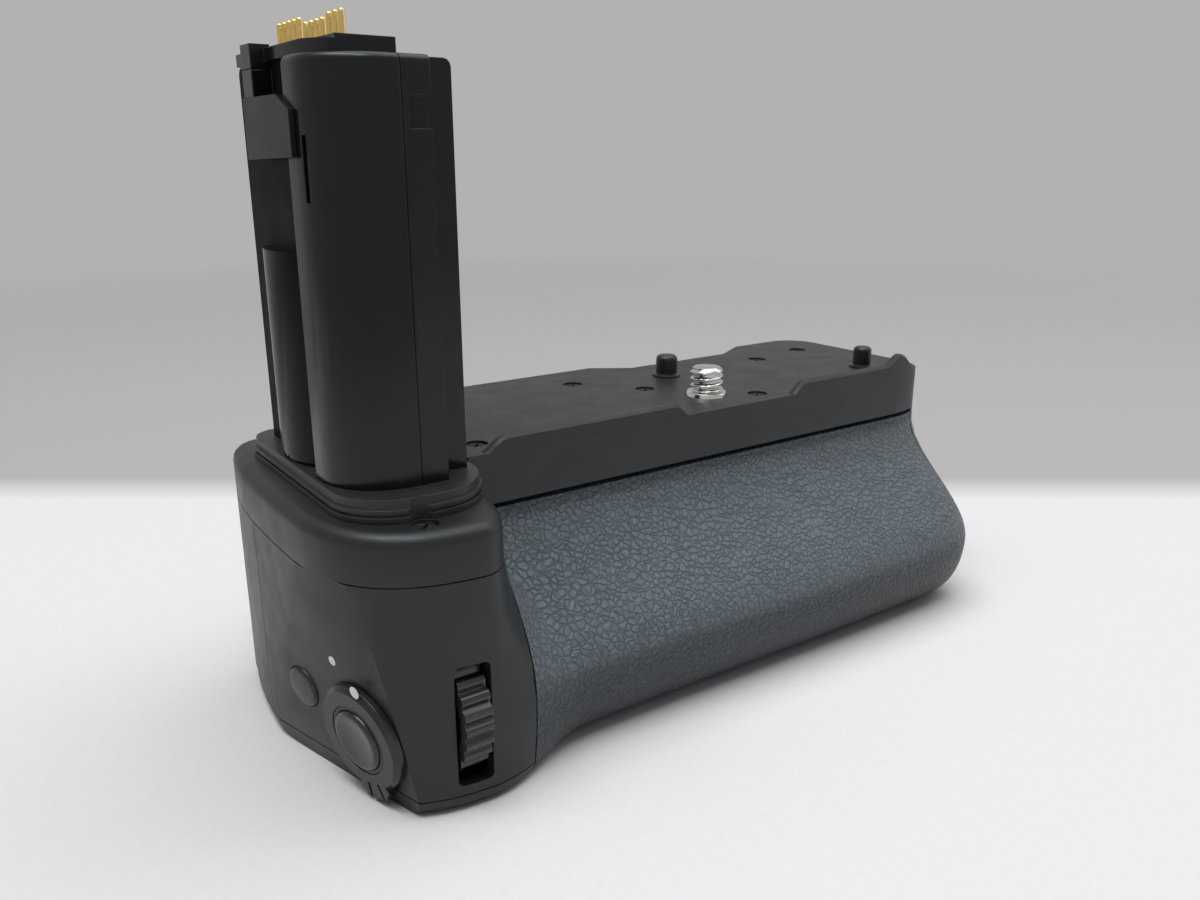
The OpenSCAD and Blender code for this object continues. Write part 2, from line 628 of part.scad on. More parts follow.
// Hand grip: a rubber skin over the front shell, both lofted along the grip
skin_top = skirt_z - channel;
skin_foot = 1.2;
grip_rows = 15;
grip_stations = concat(
    [for (d = [0, 0.4, 1.1, 2.2, 3.8, 6, 9, 13, 18]) plate_x + seam + d],
    [for (i = [1:5]) lerp(plate_x + seam + 18, right_len - end_run, i / 5)],
    [for (i = [1:7]) lerp(right_len - end_run, cap_x - seam, i / 7)]);
row_power = 1.25;
function grip_column(x, z0, z1, d) = [for (i = [0:grip_rows])
    let (z = lerp(z0, z1, pow(i / grip_rows, row_power))) [x, front_y(x, z) + d, z]];
function grip_ring(x, z0, z1, d, t) = concat(
    reversed(grip_column(x, z0, z1, d)), grip_column(x, z0, z1, d + t));
glue = 0.35;
// The shell begins right of the steep turn into the head, which the skin bridges alone
shell_from = 5;
module grip_skin() color("darkslategray")
    loft([for (x = grip_stations) grip_ring(x, skin_foot, skin_top, 0, skin_t)], true);
module front_shell() color("dimgray")
    loft([for (i = [shell_from:len(grip_stations) - 1])
        grip_ring(grip_stations[i], skin_foot, skirt_z - seam, skin_t + glue, shell_t)], true);

// Rear cover: a wall from the end of the head round to the right end
rear_path = concat([for (p = rear_quarter(rear_split, rear_bend_y - 1, 0, 5)) p], rear_corner(0),
    [[cap_x - seam, rear_depth]]);
selector_at = [rear_controls_x, rear_depth, 29.6];
af_button_at = [plate_x + 3, rear_depth, skirt_z - 4.2];
info_button_at = [plate_x + 13, rear_depth, skirt_z - 4.2];
pad_x = [-34, right_len - 19.5];
pad_z = [7, 31];
pad_r = 5;
pad_sunk = 0.8;
pad_out = 0.5;
selector_hole_r = selector_r + 1.4;
module pad_outline(d) {
    polygon(concat(
        arc([pad_x[0] + pad_r, pad_z[0] + pad_r], pad_r + d, 180, 270, 6),
        arc([pad_x[1] - pad_r, pad_z[0] + pad_r], pad_r + d, 270, 360, 6),
        arc([pad_x[1] - pad_r, pad_z[1] - pad_r], pad_r + d, 0, 90, 6),
        arc([pad_x[0] + pad_r, pad_z[1] - pad_r], pad_r + d, 90, 180, 6)));
}
module rear_cover() color("dimgray") difference() {
    union() {
        translate([0, 0, base_t + seam]) linear_extrude(skirt_z - base_t - 2 * seam)
            polygon(concat(rear_path, reversed(beside(rear_path, -wall))));
        dial_cheeks(rear_dial_at, rear_depth - wall * 0.6);
    }
    translate([-2 * left_len, 0, cap_z - seam])
        cube([2 * left_len + plate_x - seam, 2 * rear_depth, plate_h]);
    dial_slot(rear_dial_at);
    along_y(selector_at - [0, 2 * wall, 0]) cylinder(r = selector_hole_r, h = 4 * wall);
    for (p = [af_button_at, info_button_at])
        along_y(p - [0, 2 * wall, 0]) cylinder(r = rear_button_r + button_gap, h = 4 * wall);
    translate([0, rear_depth + over, 0]) rotate([90, 0, 0]) linear_extrude(over + pad_sunk)
        pad_outline(touch);
}
module rear_pad() color("darkslategray")
    translate([0, rear_depth + pad_out, 0]) rotate([90, 0, 0]) linear_extrude(pad_out + pad_sunk)
        pad_outline(0);

// Base: a slab whose edge rolls up to the covers, and steps in behind the skin and the front shell
base_in = skin_t + glue + shell_t + 0.3;
base_levels = [[0, 0], [0.25, 0], [0.6, 0], [skin_foot - seam, 0], [skin_foot - seam + touch, base_in],
    [1.7, base_in],
    [base_t, base_in]];
function base_ring(z, d) = let (i = inset(z)) at_z(concat(
    [[cap_x - seam, rear_depth - i]], reversed(rear_corner(i)),
        rear_quarter(rear_bend_y - 1, head_cy + 1, i, 5),
    front_quarter(i, 12), flank(z, 4), [for (x = grip_stations) [x, front_y(x, z) + d]]), z);
socket_r = 6;
socket_boss_r = 8;
base_screws_at = [for (x = [head_cx - 11.4, -30, right_len - 17.5])
    each [[x, x < plate_x ? -20 : -14], [x, rear_depth - 8]]];
base_screw_r = 2;
rest_pad_at = [for (x = [box_x + 14.5, right_len - 17.5], y = [-8, 24]) [x, y]];
rest_pad = [6, 5];
module base_cover() color("dimgray") difference() {
    union() {
        difference() {
            loft(concat([at_z(base_ring(0, 0), -over)], [for (l = base_levels) base_ring(l[0], l[1])],
                [at_z(base_ring(base_t, base_in), base_t + over)]));
            outside_face();
            for (z = [-2 * over, base_t]) translate([-2 * left_len, -2 * left_len, z])
                cube([4 * left_len, 4 * left_len, 2 * over]);
        }
        translate([0, 0, over]) cylinder(r = socket_boss_r, h = box_z - over);
        for (p = rest_pad_at) translate([p[0] - rest_pad[0] / 2, p[1] - rest_pad[1] / 2, over])
            cube([rest_pad[0], rest_pad[1], box_z - over]);
    }
    translate([0, 0, -over]) cylinder(r = socket_r, h = box_z + 2 * over);
    for (p = base_screws_at) translate([p[0], p[1], 0]) {
        translate([0, 0, -over]) cylinder(r = base_screw_r + touch, h = over + base_screw_h + screw_sunk);
        cylinder(r = screw_shank_r + touch, h = 2 * base_t);
    }
}
base_screw_h = 1.1;
module base_screws() color("black") for (p = base_screws_at) translate([p[0], p[1], screw_sunk])
    difference() {
    union() {
        cylinder(r = base_screw_r, h = base_screw_h);
        cylinder(r = screw_shank_r, h = base_t - screw_sunk);
    }
    for (a = [45, 135]) rotate(a) translate([-1.2, -0.2, -over + 0.5]) cube([2.4, 0.4, over]);
}
module tripod_socket() color("silver") difference() {
    cylinder(r = socket_r, h = box_z);
    translate([0, 0, -over]) cylinder(r = thread_r, h = socket_depth + over);
}

// Controls on the head

tip_soft = 0.7;
// A button: a rounded cap on a stem, with a flange that keeps it in; z = 0 is the outer face of its wall
module button(r, out, flange, t) {
    rotate_extrude() polygon(concat(
        [[0, -t - flange], [r + flange, -t - flange], [r + flange, -t - play], [r, -t - play]],
        arc([r - tip_soft, out - tip_soft], tip_soft, 0, 90, 5), [[0, out]]));
}
// A cup behind a wall that holds a button's switch
module switch_cup(r, depth) {
    translate([0, 0, -depth]) difference() {
        cylinder(r = r + cup_t, h = depth);
        translate([0, 0, cup_t]) cylinder(r = r, h = depth);
    }
}
cup_t = 0.6;
flange_t = 0.8;
cup_gap = 0.2;
face_back = wall * cos(face_yaw) * cos(face_pitch) + 0.05;

shutter_out = sleeve_h + 0.6;
module shutter_button() color("gray") on_face() {
    dish_r = 24;
    difference() {
        rotate_extrude() polygon(concat([[0, -face_back - 0.9], [shutter_r, -face_back - 0.9]],
            arc([shutter_r - tip_soft, shutter_out - tip_soft], tip_soft, 0, 90, 5), [[0, shutter_out]]));
        translate([0, 0, shutter_out + dish_r - 0.35]) sphere(r = dish_r);
    }
}
shutter_cup_depth = 0.9 + shutter_travel + cup_t + cup_gap;
module shutter_switch() color("black") on_face(0, 0, -face_back)
    switch_cup(shutter_r + cup_gap, shutter_cup_depth);

// Lock ring with a bevelled rim and a thumb tab with two grooves
ring_h = 1.5;
ring_gap = 0.08;
ring_bevel = 0.7;
tab_a = 14;
tab_half = 22;
tab_out = 1.3;
tab_foot = 0.45;
groove = [2.6, 0.5, 0.5];
groove_a = 9;
module lock_ring() color("dimgray") on_face(0, 0, ring_gap) {
    hole = shutter_r + button_gap + sleeve_t + ring_gap;
    difference() {
        union() {
            rotate_extrude() polygon([[hole, 0], [ring_r, 0], [ring_r, ring_h - ring_bevel],
                [ring_r - ring_bevel, ring_h], [hole, ring_h]]);
            rotate(tab_a) linear_extrude(ring_h) polygon(concat(
                arc([0, 0], ring_r - 1.4, tab_half, -tab_half, 6),
                arc([0, 0], ring_r + tab_out * tab_foot, -tab_half, -tab_half * 0.8, 2),
                arc([0, 0], ring_r + tab_out, -tab_half * 0.6, tab_half * 0.6, 6),
                arc([0, 0], ring_r + tab_out * tab_foot, tab_half * 0.8, tab_half, 2)));
        }
        for (a = [-groove_a, groove_a]) rotate(tab_a + a)
            translate([ring_r + tab_out - groove[0], -groove[1] / 2, ring_h - groove[2]])
                cube([2 * groove[0], groove[1], over]);
    }
}
function_out = 0.5;
module function_button() color("gray") on_face(function_at[0], function_at[1])
    button(function_r, function_out, flange_t, face_back);
function_cup_depth = flange_t + button_travel + cup_t + cup_gap;
module function_switch() color("black") on_face(function_at[0], function_at[1], -face_back)
    switch_cup(function_r + flange_t + cup_gap, function_cup_depth);

// Command dials: a ribbed rim on a hub, turning on an axle
dial_ribs = 26;
dial_rib_d = 0.7;
rib_steps = 8;
rib_power = 4;
function rib_r(i) = dial_r - dial_rib_d * pow(abs(cos(180 * (i % rib_steps) / rib_steps)), rib_power);
module dial(at) along_x([at[0] - dial_w / 2, at[1], at[2]]) difference() {
    linear_extrude(dial_w) polygon([for (i = [0:dial_ribs * rib_steps - 1])
        let (a = 360 * i / dial_ribs / rib_steps)
        rib_r(i) * [cos(a), sin(a)]]);
    translate([0, 0, -over]) cylinder(r = axle_r + running, h = dial_w + 2 * over);
    for (z = [-over, dial_w - 0.8]) translate([0, 0, z]) tube(dial_r - 2, axle_r + 2, 0.8 + over);
}
module dial_axle(at) along_x([at[0] - dial_slot_w / 2 - cheek_t, at[1], at[2]])
    cylinder(r = axle_r, h = dial_slot_w + 2 * cheek_t);
module front_dial() color("black") dial(front_dial_at);
module rear_dial() color("black") dial(rear_dial_at);
module front_dial_axle() color("silver") dial_axle(front_dial_at);
module rear_dial_axle() color("silver") dial_axle(rear_dial_at);

// Rear buttons and the tilting selector
rear_button_out = 1.1;
module af_button() color("gray") along_y(af_button_at)
    button(rear_button_r, rear_button_out, flange_t / 2, wall + touch);
module info_button() color("gray") along_y(info_button_at)
    button(rear_button_r, rear_button_out, flange_t / 2, wall + touch);
module rear_switches() color("black") for (p = [af_button_at, info_button_at])
    along_y(p - [0, wall + touch, 0])
    switch_cup(rear_button_r + flange_t / 2 + cup_gap, flange_t / 2 + button_travel + cup_t + cup_gap);

pivot_y = rear_depth - wall - 3.6;
trunnion_r = 0.8;
seat_back = 4.2;
gimbal_hole_r = 3;
gimbal_t = 2.4;
stem_r = 2.2;
module selector_seat() color("black") difference() {
    along_y([selector_at[0], pivot_y - seat_back, selector_at[2]]) difference() {
        cylinder(r = seat_r + seat_t, h = rear_depth - wall - button_gap - pivot_y + seat_back);
        translate([0, 0, seat_t]) cylinder(r = seat_r, h = rear_depth);
    }
    along_x([selector_at[0] - 2 * seat_r, pivot_y, selector_at[2]])
        cylinder(r = trunnion_r + running, h = 4 * seat_r);
}
module selector_gimbal() color("silver") difference() {
    union() {
        along_y([selector_at[0], pivot_y - gimbal_t / 2, selector_at[2]])
            cylinder(r = gimbal_r, h = gimbal_t);
        along_x([selector_at[0] - seat_r - seat_t, pivot_y, selector_at[2]])
            cylinder(r = trunnion_r, h = 2 * (seat_r + seat_t));
    }
    along_y([selector_at[0], pivot_y - gimbal_t, selector_at[2]])
        cylinder(r = gimbal_hole_r, h = 2 * gimbal_t);
    translate([selector_at[0], pivot_y, selector_at[2] - 2 * gimbal_r])
        cylinder(r = trunnion_r + running, h = 4 * gimbal_r);
}
selector_out = 2.2;
module selector() color("black") {
    along_y([selector_at[0], rear_depth, selector_at[2]]) difference() {
        rotate_extrude() polygon(concat([[0, pivot_y - rear_depth - 1.1],
            [stem_r, pivot_y - rear_depth - 1.1],
            [stem_r, -0.5], [selector_r, -0.1]],
            arc([selector_r - tip_soft, selector_out - tip_soft], tip_soft, 0, 90, 5),
                [[0, selector_out]]));
        for (a = [0, 90]) rotate(a) for (x = [-3.2, 2.4]) translate([x, -0.9, selector_out - 0.35])
            cube([0.8, 1.8, over]);
    }
    translate([selector_at[0], pivot_y, selector_at[2] - gimbal_r])
        cylinder(r = trunnion_r, h = 2 * gimbal_r);
}

// Contact tower

tower_top = plate_h + tower_h;
tower_r = 9.5;
tower_seam_x = tower_x + 10.9;
tower_split = 0.12;
rebate = [5, 4];
side_step = 2.4;
side_y = tower_y + 12;
tower_end_y = tower_y + tower_d;
// Plan of the tower, out by d
function tower_plan(d) = concat(
    arc([tower_x + tower_r, tower_y + tower_r], tower_r + d, 180, 270, 10),
    [[tower_x + tower_w - rebate[0] + d, tower_y - d],
        [tower_x + tower_w - rebate[0] + d, tower_y + rebate[1] - d],
    [tower_x + tower_w + d, tower_y + rebate[1] - d], [tower_x + tower_w + d, tower_end_y + d],
    [tower_x + side_step - d, tower_end_y + d], [tower_x + side_step - d, side_y + d],
        [tower_x - d, side_y + d]]);
tower_roof = 1.8;
mouth_x = [tower_x + 3.9, tower_x + 12.5];
mouth_y = [tower_y + 6, tower_y + 34];
// Block whose top edge is rounded, round the whole tower
tower_soft = 1.1;
function tower_block(d, z) = at_z(concat(
    arc([tower_x + tower_r, tower_y + tower_r], tower_r - d, 180, 270, 10),
    [[tower_x + tower_w - d, tower_y + d], [tower_x + tower_w - d, tower_end_y - d],
        [tower_x + d, tower_end_y - d]]), z);
module tower_form() loft(concat([tower_block(0, shoulder_z)], [for (a = [0:30:90])
    tower_block(tower_soft * (1 - cos(a)), tower_top - tower_soft + tower_soft * sin(a))]));
module tower_half(x0, x1) difference() {
    intersection() {
        tower_form();
        translate([0, 0, shoulder_z - over]) linear_extrude(tower_top - shoulder_z + 2 * over)
            intersection() {
            polygon(tower_plan(touch / 2));
            translate([x0, tower_y - over]) square([x1 - x0, tower_d + 2 * over]);
        }
    }
    translate([0, 0, shoulder_z - over]) linear_extrude(tower_top - shoulder_z - tower_roof + over)
        polygon(tower_plan(-tower_wall));
    translate([mouth_x[0], mouth_y[0], tower_top - 2 * tower_roof])
        cube([mouth_x[1] - mouth_x[0], mouth_y[1] - mouth_y[0], 4 * tower_roof]);
}
pocket = [3.2, 1.2, 4];
slit = [0.9, 0.7, 8.4];
slit_a = 196;
slit_z = tower_top - 18.2;
module tower_left_shell() color("black") difference() {
    union() {
        tower_half(tower_x - over, tower_seam_x - tower_split / 2);
        translate([clip_x, clip_y[0], tower_top - pad_low + touch])
            cube([tower_x + side_step + touch - clip_x, clip_y[1] - clip_y[0],
                pad_low - clip_low - touch]);
    }
    translate([tower_x + tower_r, tower_y + tower_r, slit_z]) rotate(slit_a)
        translate([tower_r - slit[1], -slit[0] / 2, 0]) cube([2 * slit[1], slit[0], slit[2]]);
}
module tower_right_shell() color("black") difference() {
    tower_half(tower_seam_x + tower_split / 2, tower_x + tower_w + over);
    translate([tower_x + tower_w - rebate[0] - pocket[0], tower_y - over, tower_top - 9])
        cube([pocket[0] + over, pocket[1] + over, pocket[2]]);
}
// Collar round the foot of the tower
collar_r = tower_r + 0.5;
collar_x = [tower_x - 1.2, plate_x - 0.5];
collar_y = [tower_y - 5, tower_end_y + 4];
collar_gap = 0.1;
function collar_plan(d) = concat(
    arc([collar_x[0] + collar_r, collar_y[0] + collar_r], collar_r - d, 180, 270, 9),
    arc([collar_x[1] - collar_r, collar_y[0] + collar_r], collar_r - d, 270, 360, 9),
    arc([collar_x[1] - collar_r / 2, collar_y[1] - collar_r / 2], collar_r / 2 - d, 0, 90, 6),
    arc([collar_x[0] + collar_r / 2, collar_y[1] - collar_r / 2], collar_r / 2 - d, 90, 180, 6));
// Foot, groove, bead and upright of the collar: height of each step's top and how far it stands in
collar_steps = [[0.9, 0], [1.3, 0.45], [1.9, 0.1], [shoulder_drop, 0.5]];
module collar() color("dimgray") translate([0, 0, shoulder_z]) difference() {
    union() for (i = [0:3]) let (from = i == 0 ? 0 : collar_steps[i - 1][0] - touch)
        translate([0, 0, from]) linear_extrude(collar_steps[i][0] - from)
            polygon(collar_plan(collar_steps[i][1]));
    translate([0, 0, -over]) linear_extrude(shoulder_drop + 2 * over) polygon(tower_plan(collar_gap));
    translate([shoulder_screw_at[0], shoulder_screw_at[1], -over])
        cylinder(r = screw_head_r + play, h = shoulder_drop + 2 * over);
}
// Latch pad and latch housing on the left side of the tower
pad_low = 4.7;
pad_tall = 8.2;
pad_proud = 0.7;
pad_y = [tower_y + 8.6, tower_end_y - 11];
pad_cut = [4.6, 2];
module latch_pad() color("dimgray") difference() {
    translate([tower_x - pad_proud, 0, tower_top - pad_low - pad_tall]) rotate([90, 0, 90])
        linear_extrude(side_step + pad_proud - touch)
            polygon([[pad_y[0], 0.4], [pad_y[1], 0], [pad_y[1], pad_tall],
            [pad_y[0] + pad_cut[0], pad_tall], [pad_y[0], pad_tall - pad_cut[1]]]);
    translate([0, 0, shoulder_z]) linear_extrude(tower_top) polygon(tower_plan(touch));
}
bulge_r = 16;
bulge_h = 31;
bulge_out = 2.7;
bulge_y = tower_end_y - 14.5;
bulge_foot_a = 42;
module latch_housing() color("black") difference() {
    translate([tower_x + side_step + bulge_r - bulge_out, bulge_y, plate_h + 0.1])
        cylinder(r = bulge_r, h = bulge_h);
    translate([tower_x + side_step, bulge_y - 2 * bulge_r, plate_h - over])
        cube([2 * bulge_r, 4 * bulge_r, bulge_h + 3 * over]);
    translate([0, 0, shoulder_z]) linear_extrude(tower_top) polygon(tower_plan(touch));
    for (m = [0, 1]) translate([tower_x, bulge_y, plate_h]) mirror([0, m, 0])
        rotate([-bulge_foot_a, 0, 0])
        translate([-bulge_r, -1, -bulge_r]) cube([2 * bulge_r, 3 * bulge_r, bulge_r]);
}
// Connector cap with a bore for each pin and a pocket for the bar that carries them
cap_low = 1.7;
cap_step = 0.5;
deck_in = [1.6, 4.6];
deck_soft = 4;
step_x = [4.5, 12.6];
step_len = 6.6;
// Clip at the left side, above a rib of the tower
clip_x = tower_x - 0.4;
clip_y = [tower_end_y - 15, tower_end_y - 11];
clip_low = 1.1;
plug_h = pin_travel + 1.6;
contact_r = 0.45;
contact_gap = 0.12;
contact_x = tower_x + 7;
bar_h = 1;
bar_half = 1.1;
// Three groups of pins, each with its own height above the deck
pin_pitch = 2.05;
group_gap = 0.5;
contact_out = [3.9, 3.5, 4.3];
function pin_group(i) = i < 3 ? 0 : i < 7 ? 1 : 2;
function pin_y(i) = mouth_y[0] + 2.1 + pin_pitch * i + group_gap * pin_group(i);
bar_y = [pin_y(0) - 0.9, pin_y(pin_count - 1) + 0.9];
module connector_cap() color("black") difference() {
    union() {
        translate([0, 0, tower_top]) linear_extrude(cap_low) polygon([
            [tower_x + deck_in[0] + deck_soft / 2, tower_y + deck_in[1]],
                [tower_x + step_x[1], tower_y + deck_in[1]],
            [tower_x + step_x[1], tower_end_y - 2], [tower_x + deck_in[0], tower_end_y - 2],
            [tower_x + deck_in[0], tower_y + deck_in[1] + deck_soft]]);
        translate([tower_x + step_x[0], tower_y + deck_in[1], tower_top])
            cube([step_x[1] - step_x[0], step_len, cap_low + cap_step]);
        translate([mouth_x[0] + contact_gap, mouth_y[0] + contact_gap, tower_top - plug_h])
            cube([mouth_x[1] - mouth_x[0] - 2 * contact_gap, mouth_y[1] - mouth_y[0] - 2 * contact_gap,
                plug_h + cap_low]);
        translate([clip_x, clip_y[0], tower_top - clip_low + play / 2])
            cube([tower_x + side_step - touch - clip_x, clip_y[1] - clip_y[0],
                clip_low - play / 2 + cap_low + cap_step]);
    }
    translate([contact_x - bar_half - play, bar_y[0] - play, tower_top - plug_h + 0.4])
        cube([2 * (bar_half + play), bar_y[1] - bar_y[0] + 2 * play, plug_h - 0.4 + bar_top]);
    for (i = [0:pin_count - 1]) translate([contact_x, pin_y(i), tower_top])
        cylinder(r = contact_r + contact_gap, h = 4 * cap_low);
}
bar_top = 0.6;
module contact_pins() color("gold") {
    translate([contact_x - bar_half, bar_y[0], tower_top + bar_top - play - bar_h])
        cube([2 * bar_half, bar_y[1] - bar_y[0], bar_h]);
    for (i = [0:pin_count - 1]) translate([contact_x, pin_y(i), tower_top + bar_top - play - bar_h]) {
        height = bar_h + play - bar_top + cap_low + contact_out[pin_group(i)];
        rotate_extrude() polygon(concat([[0, 0], [contact_r, 0]],
            arc([0, height - contact_r], contact_r, 0, 90, 4)));
    }
}

// Battery drawer

tray_rim = tray_z + 13;
knob_at = [right_len, (box_y[0] + box_y[1]) / 2, (box_z + box_top) / 2];
// Profile of the box in Y and Z, in by d, with its upper front edge bevelled
function box_plan(d) = [[box_y[0] + d, box_z + d], [box_y[1] - d, box_z + d], [box_y[1] - d, box_top - d],
    [box_y[0] + bevel + d * 0.4, box_top - d], [box_y[0] + d, box_top - bevel - d * 0.4]];
module along_grip(x0, x1) { translate([x0, 0, 0]) rotate([90, 0, 90]) linear_extrude(x1 - x0)
    children(); }
frame_x = cap_x - seam - 3.4;
block_y = [knob_at[1] - 8, knob_at[1] + 8];
block_z = [tray_z + 2, tray_z + 14];
module battery_box() color("gray") difference() {
    along_grip(box_x, frame_x - touch) polygon(box_plan(0));
    along_grip(box_x + box_t, frame_x + over) polygon(box_plan(box_t));
    translate([box_x - over, block_y[0], block_z[0]])
        cube([box_t + 2 * over, block_y[1] - block_y[0], block_z[1] - block_z[0]]);
}
// Bulkhead at the right end, inside the covers, that the drawer passes
frame_gap = 0.4;
function frame_ring(x) = let (
    front = grip_column(x, base_t + seam, skirt_z - seam, skin_t + glue + shell_t + frame_gap))
    concat(reversed(front), [for (p = front) [x, rear_depth - wall - frame_gap, p[2]]]);
tongue_len = (box_top - box_z) / 2 + 1.2;
tongue_t = 1.2;
tongue_x = cap_x - 2.8;
module end_frame() color("dimgray") difference() {
    loft([for (x = [cap_x - seam, (frame_x + cap_x - seam) / 2, frame_x]) reversed(frame_ring(x))], true);
    along_grip(frame_x - over, cap_x + over) polygon(box_plan(box_t));
    along_x([tongue_x - play, knob_at[1], knob_at[2]])
        cylinder(r = tongue_len + play, h = tongue_t + 2 * play);
}
module contact_block() color("black") translate([box_x - 1.6, block_y[0] + touch, block_z[0] + touch])
    cube([1.6 + box_t, block_y[1] - block_y[0] - 2 * touch, block_z[1] - block_z[0] - 2 * touch]);
blade = [0.15, 2.2, 8];
blades_y = [for (i = [-1:1]) knob_at[1] + 4.4 * i - blade[1] / 2];
module contact_blades() color("gold") for (y = blades_y) translate([box_x + box_t, y, tray_z + 4])
    cube(blade);

module battery_tray() color("gray") difference() {
    union() {
        translate([tray_x, tray_y[0], tray_z]) cube([cap_x - tray_x, tray_w, tray_t]);
        for (y = [tray_y[0], tray_y[1] - tray_t]) translate([tray_x, y, tray_z])
            cube([cap_x - tray_x, tray_t, tray_rim - tray_z]);
        for (x = [tray_x, tray_x + tray_t + cell_l + cell_gap, cap_x - latch_room - tray_t])
            translate([x, tray_y[0], tray_z]) cube([tray_t, tray_w, tray_rim - tray_z]);
    }
    for (i = [0, 1]) translate([tray_x + tray_t + (cell_l + tray_t) * i + cell_l / 2, knob_at[1],
        tray_z - over])
        cylinder(r = tray_hole_r, h = tray_t + 2 * over);
    for (y = blades_y) translate([tray_x - over, y, tray_z + 3])
        cube([tray_t + 2 * over, blade[1], blade[2] - 1]);
    translate([cap_x - latch_room, knob_at[1] - latch_window, tray_z - over])
        cube([latch_room - touch, 2 * latch_window, tray_t + 2 * over]);
}
tray_hole_r = 9;
// Half width of the window that the tongue turns through
latch_window = tongue_len - 1.4;
module tray_terminals() color("gold") for (y = blades_y)
    translate([tray_x + touch, y + touch, tray_z + 3 + touch])
    cube([tray_t - 2 * touch, blade[1] - 2 * touch, blade[2] - 1 - 2 * touch]);
// End cap of the drawer: the whole right end below the plate
// Stations that turn by even steps round the end
function end_turn(x) = asin(pow((x - right_len + end_run) / (end_run + end_blunt), end_power / 2));
cap_stations = [for (i = [0:12]) right_len - end_run + (end_run + end_blunt)
    * pow(sin(lerp(end_turn(cap_x), end_turn(right_len), i / 12)), 2 / end_power)];
function rear_end_y(x) = rear_bend_y + sqrt(max(0,
    corner_r * corner_r - pow(max(0, x - right_len + corner_r), 2)));
cap_rows = 20;
cap_row_power = 1.7;
function end_levels() = [for (i = [0:cap_rows]) (skirt_z - seam) * pow(i / cap_rows, cap_row_power)];
function end_ring(x) = concat(
    [for (z = reversed(end_levels())) [x, front_y(x, z), z]],
    [for (z = end_levels()) [x, rear_end_y(x) - inset(z), z]]);
knob_r = 9;
knob_h = 2.6;
knob_shaft_r = 2.5;
seal_w = 1.2;
seal_t = 0.8;
module end_cap() color("darkslategray") difference() {
    loft([for (x = reversed(cap_stations)) reversed(end_ring(x))], true);
    along_x([right_len - knob_h, knob_at[1], knob_at[2]]) cylinder(r = knob_r + play, h = knob_h + over);
    along_x([cap_x - over, knob_at[1], knob_at[2]]) cylinder(r = knob_shaft_r + running, h = right_len);
    along_grip(cap_x - over, cap_x + seal_t + touch) difference() {
        polygon(box_plan(-touch));
        polygon(box_plan(seal_w + touch));
    }
}
module tray_seal() color("black") along_grip(cap_x, cap_x + seal_t) difference() {
    polygon(box_plan(0));
    polygon(box_plan(seal_w));
}
// Latch knob: a disc with a finger bar, a shaft and the tongue behind the cap
module latch_knob() color("gray") along_x([right_len - knob_h + play, knob_at[1], knob_at[2]]) {
    difference() {
        cylinder(r = knob_r, h = knob_h - play);
        for (m = [0, 1]) rotate(180 * m) intersection() {
            translate([1.6, -knob_r, 0.8]) cube([knob_r, 2 * knob_r, knob_h]);
            translate([0, 0, 0.8]) cylinder(r = knob_r - 1.2, h = knob_h);
        }
    }
    translate([0, 0, tongue_x - right_len + knob_h - play])
        cylinder(r = knob_shaft_r, h = right_len - knob_h - tongue_x + play + touch);
    translate([-1.6, -tongue_len, tongue_x - right_len + knob_h - play])
        cube([3.2, 2 * tongue_len, tongue_t]);
}

top_plate();
plate_screws();
rear_locating_pin();
end_locating_pin();
mounting_screw();
screw_gear();
idler_gear();
idler_axle();
wheel_axle();
attachment_wheel();
drive_bracket();
bracket_screws();
circuit_board();
head_shell();
head_cap();
shoulder_screw();
grip_skin();
front_shell();
rear_cover();
rear_pad();
base_cover();
base_screws();
tripod_socket();
shutter_button();
shutter_switch();
lock_ring();
function_button();
function_switch();
front_dial();
rear_dial();
front_dial_axle();
rear_dial_axle();
af_button();
info_button();
rear_switches();
selector_seat();
selector_gimbal();
selector();
tower_left_shell();
tower_right_shell();
collar();
latch_pad();
latch_housing();
connector_cap();
contact_pins();
battery_box();
end_frame();
contact_block();
contact_blades();
battery_tray();
tray_terminals();
end_cap();
tray_seal();
latch_knob();
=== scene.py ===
"""Looks of a camera battery grip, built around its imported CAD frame. Metres, same frame as the CAD."""

import json
import math

import bmesh
import bpy
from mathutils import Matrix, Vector, noise


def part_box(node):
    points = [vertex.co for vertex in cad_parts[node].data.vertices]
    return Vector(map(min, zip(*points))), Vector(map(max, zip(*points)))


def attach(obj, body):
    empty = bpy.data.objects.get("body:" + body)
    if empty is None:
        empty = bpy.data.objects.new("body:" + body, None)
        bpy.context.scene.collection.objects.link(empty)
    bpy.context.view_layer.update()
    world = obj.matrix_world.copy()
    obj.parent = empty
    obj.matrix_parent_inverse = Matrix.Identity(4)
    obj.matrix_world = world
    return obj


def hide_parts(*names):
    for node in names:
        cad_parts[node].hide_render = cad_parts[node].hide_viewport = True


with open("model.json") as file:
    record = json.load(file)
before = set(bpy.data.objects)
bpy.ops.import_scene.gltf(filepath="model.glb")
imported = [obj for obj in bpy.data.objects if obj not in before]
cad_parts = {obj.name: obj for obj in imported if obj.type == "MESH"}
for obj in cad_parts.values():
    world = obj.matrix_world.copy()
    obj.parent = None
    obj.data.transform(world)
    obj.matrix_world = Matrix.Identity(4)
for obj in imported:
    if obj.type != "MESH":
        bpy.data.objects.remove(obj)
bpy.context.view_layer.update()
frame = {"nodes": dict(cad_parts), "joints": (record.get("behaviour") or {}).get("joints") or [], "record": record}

MM = 0.001
NODES = frame["nodes"]
SLOT_OF = {row["node"]: row["material_slot"] for row in frame["record"]["subparts"]}
JOINTS = {joint["name"]: joint for joint in frame["joints"]}

